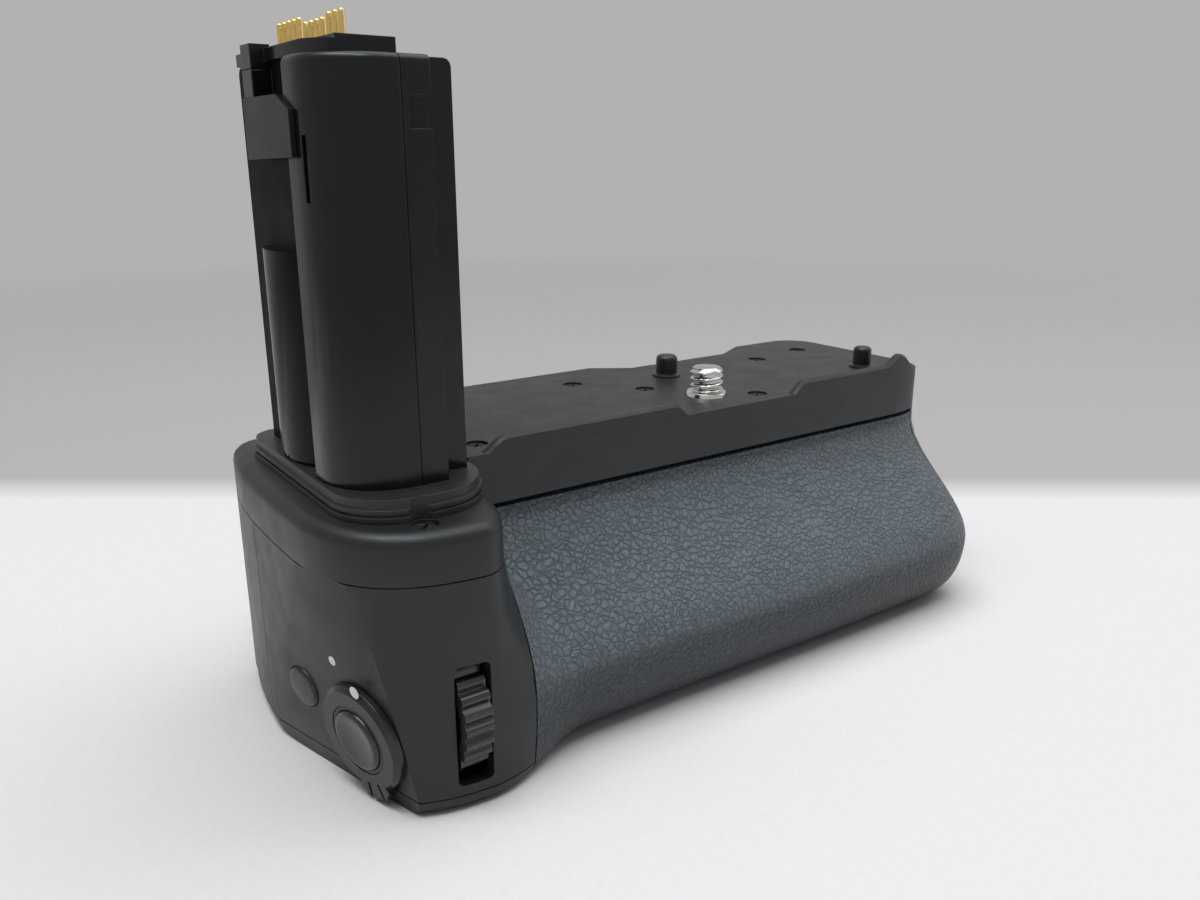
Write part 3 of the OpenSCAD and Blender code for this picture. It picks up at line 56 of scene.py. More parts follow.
# Camera at the photograph's viewing angle
CAMERA_AT = Vector((-0.1240, -0.1389, 0.0908))
CAMERA_FORWARD = Vector((0.5557, 0.7801, -0.2873)).normalized()
CAMERA_LENS = 29.61
SENSOR = 36.0
CLIP = (0.005, 20.0)


def make_camera():
    data = bpy.data.cameras.new("photo_camera")
    data.lens = CAMERA_LENS
    data.sensor_width = SENSOR
    data.clip_start, data.clip_end = CLIP
    camera = bpy.data.objects.new("photo_camera", data)
    camera.location = CAMERA_AT
    camera.rotation_mode = "QUATERNION"
    camera.rotation_quaternion = CAMERA_FORWARD.to_track_quat("-Z", "Y")
    bpy.context.scene.collection.objects.link(camera)
    bpy.context.scene.camera = camera


# Materials: sizes and depths in mm, shades as shares of a material's own colour, bands as parts of a noise

BEVEL_SAMPLES = 6
COOL = (0.91, 0.975, 1.0, 1.0)
# Pale edges, partly handling wear and partly painted highlight: the turn of the normal from worn to plain, and the
# noise that breaks them up
EDGE_TURN = (0.80, 0.985)
WEAR_MM, WEAR_LEAST, WEAR_BAND = 1.8, 0.25, (0.35, 0.62)
# Moulded plastic
MOTTLE_MM, MOTTLE_SHADES = 14.0, (0.86, 1.16)
DUST_MM, DUST_MOST, DUST_BAND, DUST_SHADE = 0.9, 0.3, (0.68, 0.82), 1.9
# The third is how pale the edges go: handling wear and painted highlight in one
HAZE_MM, HAZE, WORN_AND_HIGHLIGHT_SHADE, GRAIN_STRENGTH = 5.0, 0.05, 2.6, 0.7
# Leather: size and crease width of its pads, their bending in cell sizes, its specks of dust, its painted top
# light, the painted shade in its creases and its relief
BROAD_PAD, SMALL_PAD, SMALL_LEAST = (1.2, 0.20), (0.6, 0.28), 0.82
WARP_SIZE, WARP_BEND = 2.2, 1.1
LEATHER_SHINE, LEATHER_SHEEN, SHEEN_ROUGH, LEATHER_HAZE = 0.5, 0.05, 0.5, 0.07
LEATHER_MOTTLE_MM, LEATHER_SHADES = 9.0, (0.46, 0.54)
# Painted top light: how far the normal must turn up, and how much paler the leather gets there
UPWARD_BAND, TOP_LIGHT_SHADE = (-0.10, 0.30), 1.80
FINE_MM, FINE_MOST, FINE_BAND, FINE_SHADE = 0.45, 0.22, (0.52, 0.75), 1.5
DEEP_MM, DEEP_LEAST, DEEP_BAND = 6.0, 0.82, (0.35, 0.62)
# Painted shade in the creases: how strong it is, over which part of the pads, and how dark
CREASE_MOST, CREASE_BAND, CREASE_SHADE = 0.62, (0.0, 0.6), 0.42
PAD_RELIEF, FINE_RELIEF, FINE_STRENGTH = 0.20, 0.05, 0.7
# Plain rubber
BLOOM_MM, BLOOM_BAND, BLOOM_SHADES, BLOOM_HAZE = 3.0, (0.42, 0.72), (0.88, 1.3), 0.06
RUBBER_EDGE, RUBBER_WEAR, RUBBER_WORN = 0.18, 0.45, 2.2
RUBBER_GRAIN, RUBBER_RELIEF, RUBBER_STRENGTH = 0.5, 0.02, 0.5
# Polished plastic
POLISH_EDGE, POLISH_COAT, COAT_ROUGH, POLISH_MM = 0.3, 0.2, 0.06, 2.5
POLISH_ROUGH, POLISH_SHADES, POLISH_WEAR, POLISH_WORN = (0.7, 1.5), (0.85, 1.25), 0.4, 3.0
WAVE_MM, WAVE_RELIEF, WAVE_STRENGTH = 6.0, 0.06, 0.25
# Metal, circuit board and paint
TARNISH_MM, METAL_ROUGH, METAL_STRENGTH, METAL_EDGE = 1.6, (0.7, 1.4), 0.5, 0.08
TRACK_SCALE, TRACK_BEND, TRACK_BAND, TRACK_SHADES, TRACK_RELIEF = 500.0, 6.0, (0.45, 0.55), (0.7, 1.7), 0.03
PAINT_MM, PAINT_SHADES, PAINT_RELIEF, PAINT_STRENGTH = 0.3, (0.9, 1.0), 0.01, 0.4


class Shader:
    """A Principled material with helpers that add nodes by type and link them."""

    def __init__(self, name, color, rough, metallic=0.0):
        self.mat = bpy.data.materials.new(name)
        self.mat.use_nodes = True
        self.tree = self.mat.node_tree
        self.bsdf = self.tree.nodes["Principled BSDF"]
        self.color = color
        self.set(self.bsdf, "Base Color", (*color, 1.0))
        self.set(self.bsdf, "Roughness", rough)
        self.set(self.bsdf, "Metallic", metallic)
        self.coord = self.add("ShaderNodeTexCoord").outputs["Object"]

    def add(self, kind, **inputs):
        node = self.tree.nodes.new(kind)
        for key, value in inputs.items():
            self.set(node, key.replace("_", " "), value)
        return node

    def set(self, node, key, value):
        if isinstance(value, bpy.types.NodeSocket):
            self.tree.links.new(value, node.inputs[key])
        else:
            node.inputs[key].default_value = value

    def noise(self, size_mm, detail=2.0, rough=0.5):
        node = self.add("ShaderNodeTexNoise", Scale=1.0 / (size_mm * MM), Detail=detail, Roughness=rough)
        self.set(node, "Vector", self.coord)
        return node.outputs["Fac"]

    def remap(self, value, low, high, from_low=0.3, from_high=0.7):
        node = self.add("ShaderNodeMapRange", Value=value)
        numbers = {"From Min": from_low, "From Max": from_high, "To Min": low, "To Max": high}
        for key, number in numbers.items():
            node.inputs[key].default_value = number
        return node.outputs["Result"]

    def mix(self, factor, a, b):
        node = self.tree.nodes.new("ShaderNodeMix")
        node.data_type = "RGBA"
        sockets = [s for s in node.inputs if s.type == "RGBA"]
        sockets[0].default_value = (*a, 1.0) if not isinstance(a, bpy.types.NodeSocket) else (0, 0, 0, 1)
        sockets[1].default_value = (*b, 1.0)
        if isinstance(a, bpy.types.NodeSocket):
            self.tree.links.new(a, sockets[0])
        self.tree.links.new(factor, node.inputs["Factor"])
        return [s for s in node.outputs if s.type == "RGBA"][0]

    def shaded(self, factor):
        return [channel * factor for channel in self.color]

    def between_shades(self, factor, shades):
        return self.mix(factor, self.shaded(shades[0]), self.shaded(shades[1]))

    def bump(self, height, depth_mm, strength=1.0, normal=None):
        node = self.add("ShaderNodeBump", Height=height, Strength=strength, Distance=depth_mm * MM)
        if normal is not None:
            self.set(node, "Normal", normal)
        return node.outputs["Normal"]

    def soft_edge(self, radius_mm):
        node = self.add("ShaderNodeBevel", Radius=radius_mm * MM)
        node.samples = BEVEL_SAMPLES
        return node.outputs["Normal"]

    def edge_wear_and_highlight(self, soft_normal, most):
        """Where the softened normal leaves the face's own: the edges, paled partly by handling wear and partly as
        painted highlight, broken up by a noise.
        """
        turn = self.tree.nodes.new("ShaderNodeVectorMath")
        turn.operation = "DOT_PRODUCT"
        self.tree.links.new(soft_normal, turn.inputs[0])
        self.tree.links.new(self.add("ShaderNodeNewGeometry").outputs["Normal"], turn.inputs[1])
        edge = self.remap(turn.outputs["Value"], 1.0, 0.0, *EDGE_TURN)
        patch = self.noise(WEAR_MM, detail=4.0, rough=0.65)
        return product(self, edge, self.remap(patch, WEAR_LEAST * most, most, *WEAR_BAND))

    def done(self, normal=None):
        if normal is not None:
            self.set(self.bsdf, "Normal", normal)
        return self.mat


def moulded(name, color, rough, grain_mm=0.35, grain_depth=0.02, edge_mm=0.14, wear_and_highlight=0.5, shine=0.4):
    """Moulded plastic: spark-eroded grain, faint mottling, specks of dust and edges gone pale, partly with
    handling wear and partly as painted highlight.
    """
    s = Shader(name, color, rough)
    s.set(s.bsdf, "Specular IOR Level", shine)
    s.set(s.bsdf, "Specular Tint", COOL)
    soft = s.soft_edge(edge_mm)
    mottled = s.between_shades(s.remap(s.noise(MOTTLE_MM, detail=3.0), 0.0, 1.0), MOTTLE_SHADES)
    dust = s.remap(s.noise(DUST_MM, detail=4.0, rough=0.7), 0.0, DUST_MOST, *DUST_BAND)
    toned_base = s.mix(dust, mottled, s.shaded(DUST_SHADE))
    # Pale edges: handling wear together with a painted highlight
    s.set(s.bsdf, "Base Color", s.mix(s.edge_wear_and_highlight(soft, wear_and_highlight), toned_base, s.shaded(WORN_AND_HIGHLIGHT_SHADE)))
    s.set(s.bsdf, "Roughness", s.remap(s.noise(HAZE_MM, detail=3.0), rough - HAZE, rough + HAZE))
    return s.done(s.bump(s.noise(grain_mm, detail=2.0, rough=0.6), grain_depth, GRAIN_STRENGTH, soft))


def creases(s, size_mm, width):
    """0 in the creases between warped cells, 1 on their pads."""
    warp = s.add("ShaderNodeTexNoise", Scale=1.0 / (WARP_SIZE * size_mm * MM), Detail=1.0)
    s.set(warp, "Vector", s.coord)
    bend = s.tree.nodes.new("ShaderNodeVectorMath")
    bend.operation = "MULTIPLY_ADD"
    s.tree.links.new(warp.outputs["Color"], bend.inputs[0])
    bend.inputs[1].default_value = [WARP_BEND * size_mm * MM] * 3
    s.tree.links.new(s.coord, bend.inputs[2])
    cells = s.add("ShaderNodeTexVoronoi", Scale=1.0 / (size_mm * MM), Randomness=1.0)
    cells.feature = "DISTANCE_TO_EDGE"
    s.set(cells, "Vector", bend.outputs["Vector"])
    return s.remap(cells.outputs["Distance"], 0.0, 1.0, 0.0, width)


def product(s, a, b):
    node = s.tree.nodes.new("ShaderNodeMath")
    node.operation = "MULTIPLY"
    s.tree.links.new(a, node.inputs[0])
    s.tree.links.new(b, node.inputs[1])
    return node.outputs["Value"]


def leather(name, color, rough):
    """Moulded rubber with a leather grain: warped pads parted by creases over the relief of the mesh, with painted
    shade in the creases, and painted top light that makes it paler where it faces up."""
    s = Shader(name, color, rough)
    s.set(s.bsdf, "Specular IOR Level", LEATHER_SHINE)
    s.set(s.bsdf, "Specular Tint", COOL)
    broad = creases(s, *BROAD_PAD)
    small = creases(s, *SMALL_PAD)
    pad = product(s, broad, s.remap(small, SMALL_LEAST, 1.0, 0.0, 1.0))
    fine = s.noise(FINE_MM, detail=3.0, rough=0.65)
    mottled = s.between_shades(s.remap(s.noise(LEATHER_MOTTLE_MM, detail=3.0), 0.0, 1.0), LEATHER_SHADES)
    # Painted top light: the colour is paler where the surface faces up
    facing = s.add("ShaderNodeSeparateXYZ", Vector=s.add("ShaderNodeNewGeometry").outputs["Normal"])
    upward = s.remap(facing.outputs["Z"], 0.0, 1.0, *UPWARD_BAND)
    toned_base = s.mix(upward, mottled, s.shaded(TOP_LIGHT_SHADE))
    rubbed = s.mix(s.remap(fine, 0.0, FINE_MOST, *FINE_BAND), toned_base, s.shaded(FINE_SHADE))
    deep = s.remap(s.noise(DEEP_MM, detail=2.0), DEEP_LEAST, 1.0, *DEEP_BAND)
    # Painted shade: the creases between the pads are darkened, more where the noise runs deep
    crease = product(s, s.remap(pad, CREASE_MOST, 0.0, *CREASE_BAND), deep)
    s.set(s.bsdf, "Base Color", s.mix(crease, rubbed, s.shaded(CREASE_SHADE)))
    s.set(s.bsdf, "Roughness", s.remap(fine, rough - LEATHER_HAZE, rough + LEATHER_HAZE))
    s.set(s.bsdf, "Sheen Weight", LEATHER_SHEEN)
    s.set(s.bsdf, "Sheen Roughness", SHEEN_ROUGH)
    relief = s.bump(product(s, pad, deep), PAD_RELIEF)
    return s.done(s.bump(fine, FINE_RELIEF, FINE_STRENGTH, relief))


def smooth_rubber(name, color, rough):
    """Plain soft rubber with a dusty bloom, paler along its edges."""
    s = Shader(name, color, rough)
    soft = s.soft_edge(RUBBER_EDGE)
    s.set(s.bsdf, "Specular Tint", COOL)
    bloom = s.remap(s.noise(BLOOM_MM, detail=5.0, rough=0.65), 0.0, 1.0, *BLOOM_BAND)
    toned_base = s.between_shades(bloom, BLOOM_SHADES)
    s.set(s.bsdf, "Base Color", s.mix(s.edge_wear_and_highlight(soft, RUBBER_WEAR), toned_base, s.shaded(RUBBER_WORN)))
    s.set(s.bsdf, "Roughness", s.remap(bloom, rough - BLOOM_HAZE, rough + BLOOM_HAZE, 0.0, 1.0))
    return s.done(s.bump(s.noise(RUBBER_GRAIN, detail=2.0), RUBBER_RELIEF, RUBBER_STRENGTH, soft))


def glossy(name, color, rough, shine):
    """Polished black plastic with hairline swirls, a slightly wavy surface and rubbed edges."""
    s = Shader(name, color, rough)
    soft = s.soft_edge(POLISH_EDGE)
    s.set(s.bsdf, "Specular IOR Level", shine)
    s.set(s.bsdf, "Specular Tint", COOL)
    s.set(s.bsdf, "Coat Weight", POLISH_COAT * shine)
    s.set(s.bsdf, "Coat Roughness", COAT_ROUGH)
    haze = s.noise(POLISH_MM, detail=4.0, rough=0.6)
    s.set(s.bsdf, "Roughness", s.remap(haze, rough * POLISH_ROUGH[0], rough * POLISH_ROUGH[1]))
    swirled = s.between_shades(s.remap(haze, 0.0, 1.0), POLISH_SHADES)
    s.set(s.bsdf, "Base Color", s.mix(s.edge_wear_and_highlight(soft, POLISH_WEAR), swirled, s.shaded(POLISH_WORN)))
    return s.done(s.bump(s.noise(WAVE_MM, detail=1.0), WAVE_RELIEF, WAVE_STRENGTH, soft))


def metal(name, color, rough, brushed_mm=0.12, depth=0.004, tarnish=0.75):
    """Turned or plated metal: fine turning marks and patches of tarnish."""
    s = Shader(name, color, rough, 1.0)
    patch = s.noise(TARNISH_MM, detail=4.0, rough=0.6)
    s.set(s.bsdf, "Base Color", s.between_shades(s.remap(patch, 0.0, 1.0), (tarnish, 1.0)))
    s.set(s.bsdf, "Roughness", s.remap(patch, rough * METAL_ROUGH[0], rough * METAL_ROUGH[1]))
    return s.done(s.bump(s.noise(brushed_mm, detail=2.0), depth, METAL_STRENGTH, s.soft_edge(METAL_EDGE)))


def board_material(name, color, rough):
    """Circuit board: solder mask with faint copper tracks under it."""
    s = Shader(name, color, rough)
    wave = s.add("ShaderNodeTexWave", Scale=TRACK_SCALE, Distortion=TRACK_BEND)
    s.set(wave, "Vector", s.coord)
    track = s.remap(wave.outputs["Fac"], 0.0, 1.0, *TRACK_BAND)
    s.set(s.bsdf, "Base Color", s.between_shades(track, TRACK_SHADES))
    return s.done(s.bump(track, TRACK_RELIEF, 0.5))


def paint(name, color, rough):
    """Printed index paint, a little uneven."""
    s = Shader(name, color, rough)
    uneven = s.noise(PAINT_MM, detail=3.0)
    s.set(s.bsdf, "Base Color", s.between_shades(s.remap(uneven, 0.0, 1.0), PAINT_SHADES))
    return s.done(s.bump(uneven, PAINT_RELIEF, PAINT_STRENGTH))


BODY = (0.0105, 0.0120, 0.0135)
MATERIALS = {
    "body_shell": moulded("body_plastic", BODY, 0.42, shine=0.48),
    "inner_plastic": moulded("inner_plastic", (0.022, 0.022, 0.023), 0.55, grain_mm=0.6, grain_depth=0.01),
    "grip_rubber": leather("leather_rubber", (0.060, 0.074, 0.084), 0.43),
    "soft_seal": smooth_rubber("gasket_rubber", (0.019, 0.0205, 0.0225), 0.46),
    "end_plastic": smooth_rubber("end_plastic", (0.080, 0.094, 0.104), 0.46),
    # The tower's strong edge paling is painted highlight as well as wear
    "tower_plastic": moulded("tower_plastic", (0.0055, 0.0059, 0.0066), 0.21, grain_mm=0.3, grain_depth=0.005,
                             edge_mm=0.26, wear_and_highlight=0.9, shine=0.36),
    "matte_black": moulded("pad_plastic", (0.006, 0.006, 0.0066), 0.30, grain_mm=0.3, grain_depth=0.008,
                           edge_mm=0.2, wear_and_highlight=0.8, shine=0.17),
    "gloss_black": glossy("latch_gloss", (0.003, 0.003, 0.0034), 0.13, shine=0.10),
    "control_plastic": moulded("control_plastic", (0.021, 0.022, 0.024), 0.26, grain_mm=0.28,
                               grain_depth=0.006, edge_mm=0.2),
    # The dial's strong edge paling is painted highlight on its rib tops as well as wear
    "control_rubber": moulded("dial_plastic", (0.026, 0.028, 0.031), 0.20, grain_mm=0.3, grain_depth=0.005,
                              wear_and_highlight=0.9, shine=0.6),
    "inner_black": moulded("switch_plastic", (0.016, 0.016, 0.016), 0.5),
    "board": board_material("board_mask", (0.012, 0.075, 0.030), 0.35),
    "bright_screw": metal("bright_nickel", (0.86, 0.86, 0.84), 0.15),
    "brass_gear": metal("turned_brass", (0.72, 0.53, 0.22), 0.3),
    "steel": metal("plain_steel", (0.56, 0.56, 0.57), 0.32),
    "black_screw": metal("black_oxide", (0.09, 0.09, 0.095), 0.42, brushed_mm=0.2, depth=0.006),
    "black_pin": smooth_rubber("pin_black", (0.012, 0.012, 0.013), 0.36),
    "gold_contact": metal("gold_plate", (0.95, 0.70, 0.25), 0.18, brushed_mm=0.1, depth=0.003, tarnish=0.82),
}
PAINT = paint("index_white", (0.85, 0.85, 0.84), 0.5)
# Painted shade: a darker, less shiny moulding for the recess wall behind the latch housing
RECESS_SHADE = moulded("recess_shade", (0.004, 0.004, 0.0044), 0.6, grain_mm=0.3, grain_depth=0.01,
                 wear_and_highlight=0.4, shine=0.10)
SPECIAL = {"shutter_button": glossy("button_gloss", (0.018, 0.019, 0.021), 0.16, shine=0.55)}

# How squarely and how near in mm a face lies to the recess wall
RECESS_FACING, RECESS_NEAR = 0.98, 0.15
# Angle in degrees above which two facets meet in an edge
SMOOTH_ANGLE = 32.0
CRISP_ANGLE = {"head_shell": 24.0, "front_dial": 20.0, "rear_dial": 20.0, "attachment_wheel": 20.0,
               "lock_ring": 20.0}
# Distance in metres within which corners are one
WELD = 2e-6


def dress(node):
    """Gives a CAD node its material and smooths its facets, with its shape left as it is."""
    piece = NODES[node]
    mesh = piece.data
    mesh.materials.clear()
    mesh.materials.append(SPECIAL.get(node, MATERIALS[SLOT_OF[node]]))
    if "custom_normal" in mesh.attributes:
        mesh.attributes.remove(mesh.attributes["custom_normal"])
    mesh.polygons.foreach_set("use_smooth", [True] * len(mesh.polygons))
    weld = piece.modifiers.new("weld", "WELD")
    weld.merge_threshold = WELD
    split = piece.modifiers.new("split", "EDGE_SPLIT")
    split.split_angle = math.radians(CRISP_ANGLE.get(node, SMOOTH_ANGLE))


for node_name in NODES:
    dress(node_name)


def paint_recess_shade():
    """Gives the wall that the latch housing stands on a darker, less shiny moulding: painted shade in the recess.
    """
    mesh = NODES["tower_left_shell"].data
    mesh.materials.append(RECESS_SHADE)
    housing_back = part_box("latch_housing")[1].x
    for face in mesh.polygons:
        if face.normal.x < -RECESS_FACING and abs(face.center.x - housing_back) < RECESS_NEAR * MM:
            face.material_index = 1


paint_recess_shade()


def add_mesh(name, points, faces, material, body):
    mesh = bpy.data.meshes.new(name)
    mesh.from_pydata([tuple(p) for p in points], [], faces)
    mesh.materials.append(material)
    build = bmesh.new()
    build.from_mesh(mesh)
    bmesh.ops.recalc_face_normals(build, faces=build.faces)
    build.to_mesh(mesh)
    build.free()
    mesh.polygons.foreach_set("use_smooth", [True] * len(mesh.polygons))
    piece = bpy.data.objects.new(name, mesh)
    bpy.context.scene.collection.objects.link(piece)
    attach(piece, body)
    return piece


make_camera()


# Hand grip: the rubber skin, with the same form as its CAD solid and its grain in the mesh

FASCIA, GRIP, HEAD = 10.2, 28.5, 29.6
RIGHT, LEFT, SKIRT = 57.5, 84.6, 38.1
EDGE_R = 2.5
CREST, CREST_TOP, FOOT_SHARE = 0.36, 0.95, 0.45
LEAN_X, LEAN_RUN, LEAN_LEAST = -50.0, 80.0, 0.92
END_RUN, END_POWER, END_Y, END_BLUNT = 17.5, 3.0, 5.0, 0.35
HEAD_REACH, HEAD_CY, HEAD_POWER, HEAD_END_A = 26.0, -3.0, 2.0 / 3.0, math.radians(83.8)
HEAD_CX = HEAD_REACH - LEFT
PLATE_X = HEAD_CX + 1.6
FLANK_X = HEAD_CX - HEAD_REACH * math.cos(HEAD_END_A) ** HEAD_POWER
FLANK_RUN, FLANK_SPREAD, FLANK_POWER, FLANK_SOFTEN = PLATE_X - FLANK_X, 0.4, 0.5, 2.0
SKIN_T, SKIN_FOOT, SKIN_TOP = 1.6, 1.2, 37.2
SKIN_X = (PLATE_X + 0.2, 51.5)
NORMAL_STEP = 0.2


def lerp(a, b, t):
    return a + (b - a) * t


def clamp(t, low=0.0, high=1.0):
    return min(high, max(low, t))


def ease(t):
    return 0.5 - 0.5 * math.cos(math.pi * clamp(t))


def inset(z):
    return EDGE_R - math.sqrt(max(0.0, EDGE_R ** 2 - (EDGE_R - z) ** 2)) if z < EDGE_R else 0.0


def swell(h):
    if h >= CREST:
        return 0.5 + 0.5 * math.cos(math.pi * min(1.0, (h - CREST) / (CREST_TOP - CREST)))
    return FOOT_SHARE + (1 - FOOT_SHARE) * math.sqrt(max(0.0, 1 - ((CREST - max(0.0, h)) / CREST) ** 2))


def grip_y(x, z):
    slim = lerp(LEAN_LEAST, 1.0, ease((x - LEAN_X) / LEAN_RUN))
    return -FASCIA - (GRIP - FASCIA) * slim * swell(z / SKIRT)


def rounded(x, y):
    share = max(0.0, x - RIGHT + END_RUN) / (END_RUN + END_BLUNT)
    return END_Y + (y - END_Y) * max(0.0, 1 - share ** END_POWER) ** (1 / END_POWER)


def front_y(x, z):
    head = HEAD_CY - (HEAD + HEAD_CY - inset(z)) * math.sin(HEAD_END_A) ** HEAD_POWER
    along = clamp((x - FLANK_X) / (FLANK_RUN + FLANK_SPREAD * max(0.0, SKIRT - z)))
    mix = (1 - along ** 2) ** (FLANK_POWER + FLANK_SOFTEN * max(0.0, 1 - z / SKIRT))
    return rounded(x, lerp(grip_y(x, z), head, mix))


def front_normal(x, z):
    step = NORMAL_STEP
    along = Vector((2 * step, front_y(x + step, z) - front_y(x - step, z), 0.0))
    up = Vector((0.0, front_y(x, z + step) - front_y(x, z - step), 2 * step))
    return along.cross(up).normalized()


GRAIN_SIZE = Vector((2.4, 2.4, 1.9))
GRAIN_WARP = 0.55
GRAIN_DEPTH = 0.08
GRAIN_EDGE = 1.4
# Seed of the noise that bends the grain, so that each run makes the same skin
GRAIN_SEED = 7
# Scale of the warp, width of a crease, its depth and how uneven that is, and the pads' own waves
WARP_SCALE, CREASE_WIDTH = 0.6, 0.32
CREASE_DEPTH, CREASE_UNEVEN, UNEVEN_SCALE = 0.55, 0.45, 0.12
PAD_WAVE, PAD_WAVE_SCALE = 0.25, 1.7
# Stations crowd towards the head, where the skin bends most
SKIN_CROWD, SKIN_ANGLE = 1.15, 50.0
# Stations and rows of the skin, and how many rows share a point of its inner side
SKIN_QUICK, SKIN_FULL, SKIN_COARSE = (120, 50), (330, 140), 10


def grain(p):
    """Height of the leather grain: rounded cells parted by creases of uneven depth."""
    q = Vector((p.x / GRAIN_SIZE.x, p.y / GRAIN_SIZE.y, p.z / GRAIN_SIZE.z))
    q += GRAIN_WARP * noise.noise_vector(q * WARP_SCALE)
    near, far = noise.voronoi(q)[0][:2]
    crease = 1.0 - clamp((far - near) / CREASE_WIDTH)
    depth = CREASE_DEPTH + CREASE_UNEVEN * noise.noise(p * UNEVEN_SCALE)
    return -crease * crease * depth + PAD_WAVE * noise.noise(q * PAD_WAVE_SCALE)


def skin_ring(x, rows, coarse):
    """Outer line from top to foot, and the plain inner line back up with one point for every coarse rows."""
    outer = []
    for i in range(rows + 1):
        z = lerp(SKIN_TOP, SKIN_FOOT, i / rows)
        p = Vector((x, front_y(x, z), z))
        room = min(x - SKIN_X[0], SKIN_X[1] - x, SKIN_TOP - z, z - SKIN_FOOT)
        outer.append(p + front_normal(x, z) * (GRAIN_DEPTH * grain(p) * clamp(room / GRAIN_EDGE)))
    inner = []
    for i in range(rows, -1, -coarse):
        z = lerp(SKIN_TOP, SKIN_FOOT, i / rows)
        inner.append(Vector((x, front_y(x, z) + SKIN_T, z)))
    return [p * MM for p in outer + inner]


def end_strips(first, rows, coarse):
    """Faces that close an end of the skin, between the outer and the inner line of its ring."""
    strips = rows // coarse
    faces = []
    for j in range(strips):
        outer = list(range(first + j * coarse, first + (j + 1) * coarse + 1))
        inner = [first + rows + 1 + strips - j - 1, first + rows + 1 + strips - j]
        faces.append(tuple(outer + inner))
    return faces


def loft(rings, closed=True):
    count = len(rings[0])
    points = [p for ring in rings for p in ring]
    faces = []
    if closed:
        faces = [tuple(range(count)), tuple(range(len(points) - 1, len(points) - count - 1, -1))]
    for k in range(len(rings) - 1):
        a, b = k * count, (k + 1) * count
        faces += [(a + i, a + (i + 1) % count, b + (i + 1) % count, b + i) for i in range(count)]
    return points, faces


def make_skin():
    noise.seed_set(GRAIN_SEED)
    stations, rows = SKIN_FULL
    coarse = SKIN_COARSE
    xs = [lerp(SKIN_X[0], SKIN_X[1], (i / stations) ** SKIN_CROWD) for i in range(stations + 1)]
    rings = [skin_ring(x, rows, coarse) for x in xs]
    points, faces = loft(rings, False)
    faces += end_strips(0, rows, coarse)
    faces += end_strips(len(points) - len(rings[0]), rows, coarse)
    skin = add_mesh("leather_skin", points, faces, MATERIALS["grip_rubber"], "housing")
    sharp = skin.modifiers.new("split", "EDGE_SPLIT")
    sharp.split_angle = math.radians(SKIN_ANGLE)
    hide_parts("grip_skin")


# Mounting screw with its thread

THREAD_R, THREAD_ROOT, THREAD_PITCH = 3.175, 2.55, 1.27
# Turned steps below the thread: radius and top of each
STUB_R, STUB_TOP = 1.95, 35.5
SHANK_R, SHANK_TOP = 2.6, 38.7
COLLAR_R, COLLAR_TOP, COLLAR_RIM, COLLAR_SOFT = 3.875, 47.2, 3.7, 0.25
THREAD_START, THREAD_FADE, THREAD_ROWS = 0.05, 0.5, 72
RIDGE_SLOPE, RIDGE_CUT = 1.6, 0.25
TIP_RUN, TIP_IN = 0.9, 1.0
SCREW_SIDES, SCREW_ANGLE = 64, 40.0


def circle(turns):
    return [2 * math.pi * i / turns for i in range(turns)]


def thread_radius(z, a, top):
    """Radius at a height and an angle: a ridge that winds up, fades in and ends in a rounded tip."""
    phase = ((z - COLLAR_TOP) / THREAD_PITCH - a / (2 * math.pi)) % 1.0
    ridge = clamp(RIDGE_SLOPE * (1 - abs(2 * phase - 1)) - RIDGE_CUT)
    fade = clamp((z - COLLAR_TOP) / THREAD_FADE)
    tip = lerp(THREAD_R - TIP_IN, THREAD_R, math.sqrt(clamp((top - z) / TIP_RUN)))
    return min(THREAD_ROOT + (THREAD_R - THREAD_ROOT) * ridge * fade, tip)


def make_screw():
    low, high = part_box("mounting_screw")
    foot, top = low.z / MM, high.z / MM
    steps = [(STUB_R, foot), (STUB_R, STUB_TOP), (SHANK_R, STUB_TOP), (SHANK_R, SHANK_TOP),
             (COLLAR_R, SHANK_TOP), (COLLAR_R, COLLAR_TOP - COLLAR_SOFT), (COLLAR_RIM, COLLAR_TOP),
             (THREAD_ROOT, COLLAR_TOP)]
    angles = circle(SCREW_SIDES)
    rings = [[(r, a, z) for a in angles] for r, z in steps]
    for i in range(THREAD_ROWS + 1):
        z = lerp(COLLAR_TOP + THREAD_START, top, i / THREAD_ROWS)
        rings.append([(thread_radius(z, a, top), a, z) for a in angles])
    rings = [[Vector((r * math.cos(a), r * math.sin(a), z)) * MM for r, a, z in ring] for ring in rings]
    points, faces = loft(rings)
    screw = add_mesh("threaded_screw", points, faces, MATERIALS["bright_screw"], "screw")
    split = screw.modifiers.new("split", "EDGE_SPLIT")
    split.split_angle = math.radians(SCREW_ANGLE)
    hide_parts("mounting_screw")


# Index dots on the control face and on the lock ring

FACE_AT = Vector((5.5 - LEFT, -17.6, 10.4))
FACE_N = Vector(JOINTS["lock_ring_turn"]["axis"]).normalized()
FACE_DOWN = (Vector((0, 0, -1)) - FACE_N * Vector((0, 0, -1)).dot(FACE_N)).normalized()
FACE_FRONT = FACE_N.cross(FACE_DOWN)
FOCAL = CAMERA_LENS / SENSOR
# Frame of the camera, in its own pixels, and half its height as a share of its width
FRAME_W = 1200
HALF_HEIGHT = 0.375
# Share of the radius, and height, of each ring of a dot
DOT_RINGS = ((1.0, -0.04), (1.0, 0.015), (0.93, 0.035), (0.6, 0.05), (0.05, 0.055))
DOT_SIDES = 28
# Name, place in the frame, lift off the control face, radius and body
DOTS = (("face_index_dot", (332, 661), 0.0, 0.75, "housing"),
        ("ring_index_dot", (354, 693), 1.58, 0.95, "lock"))


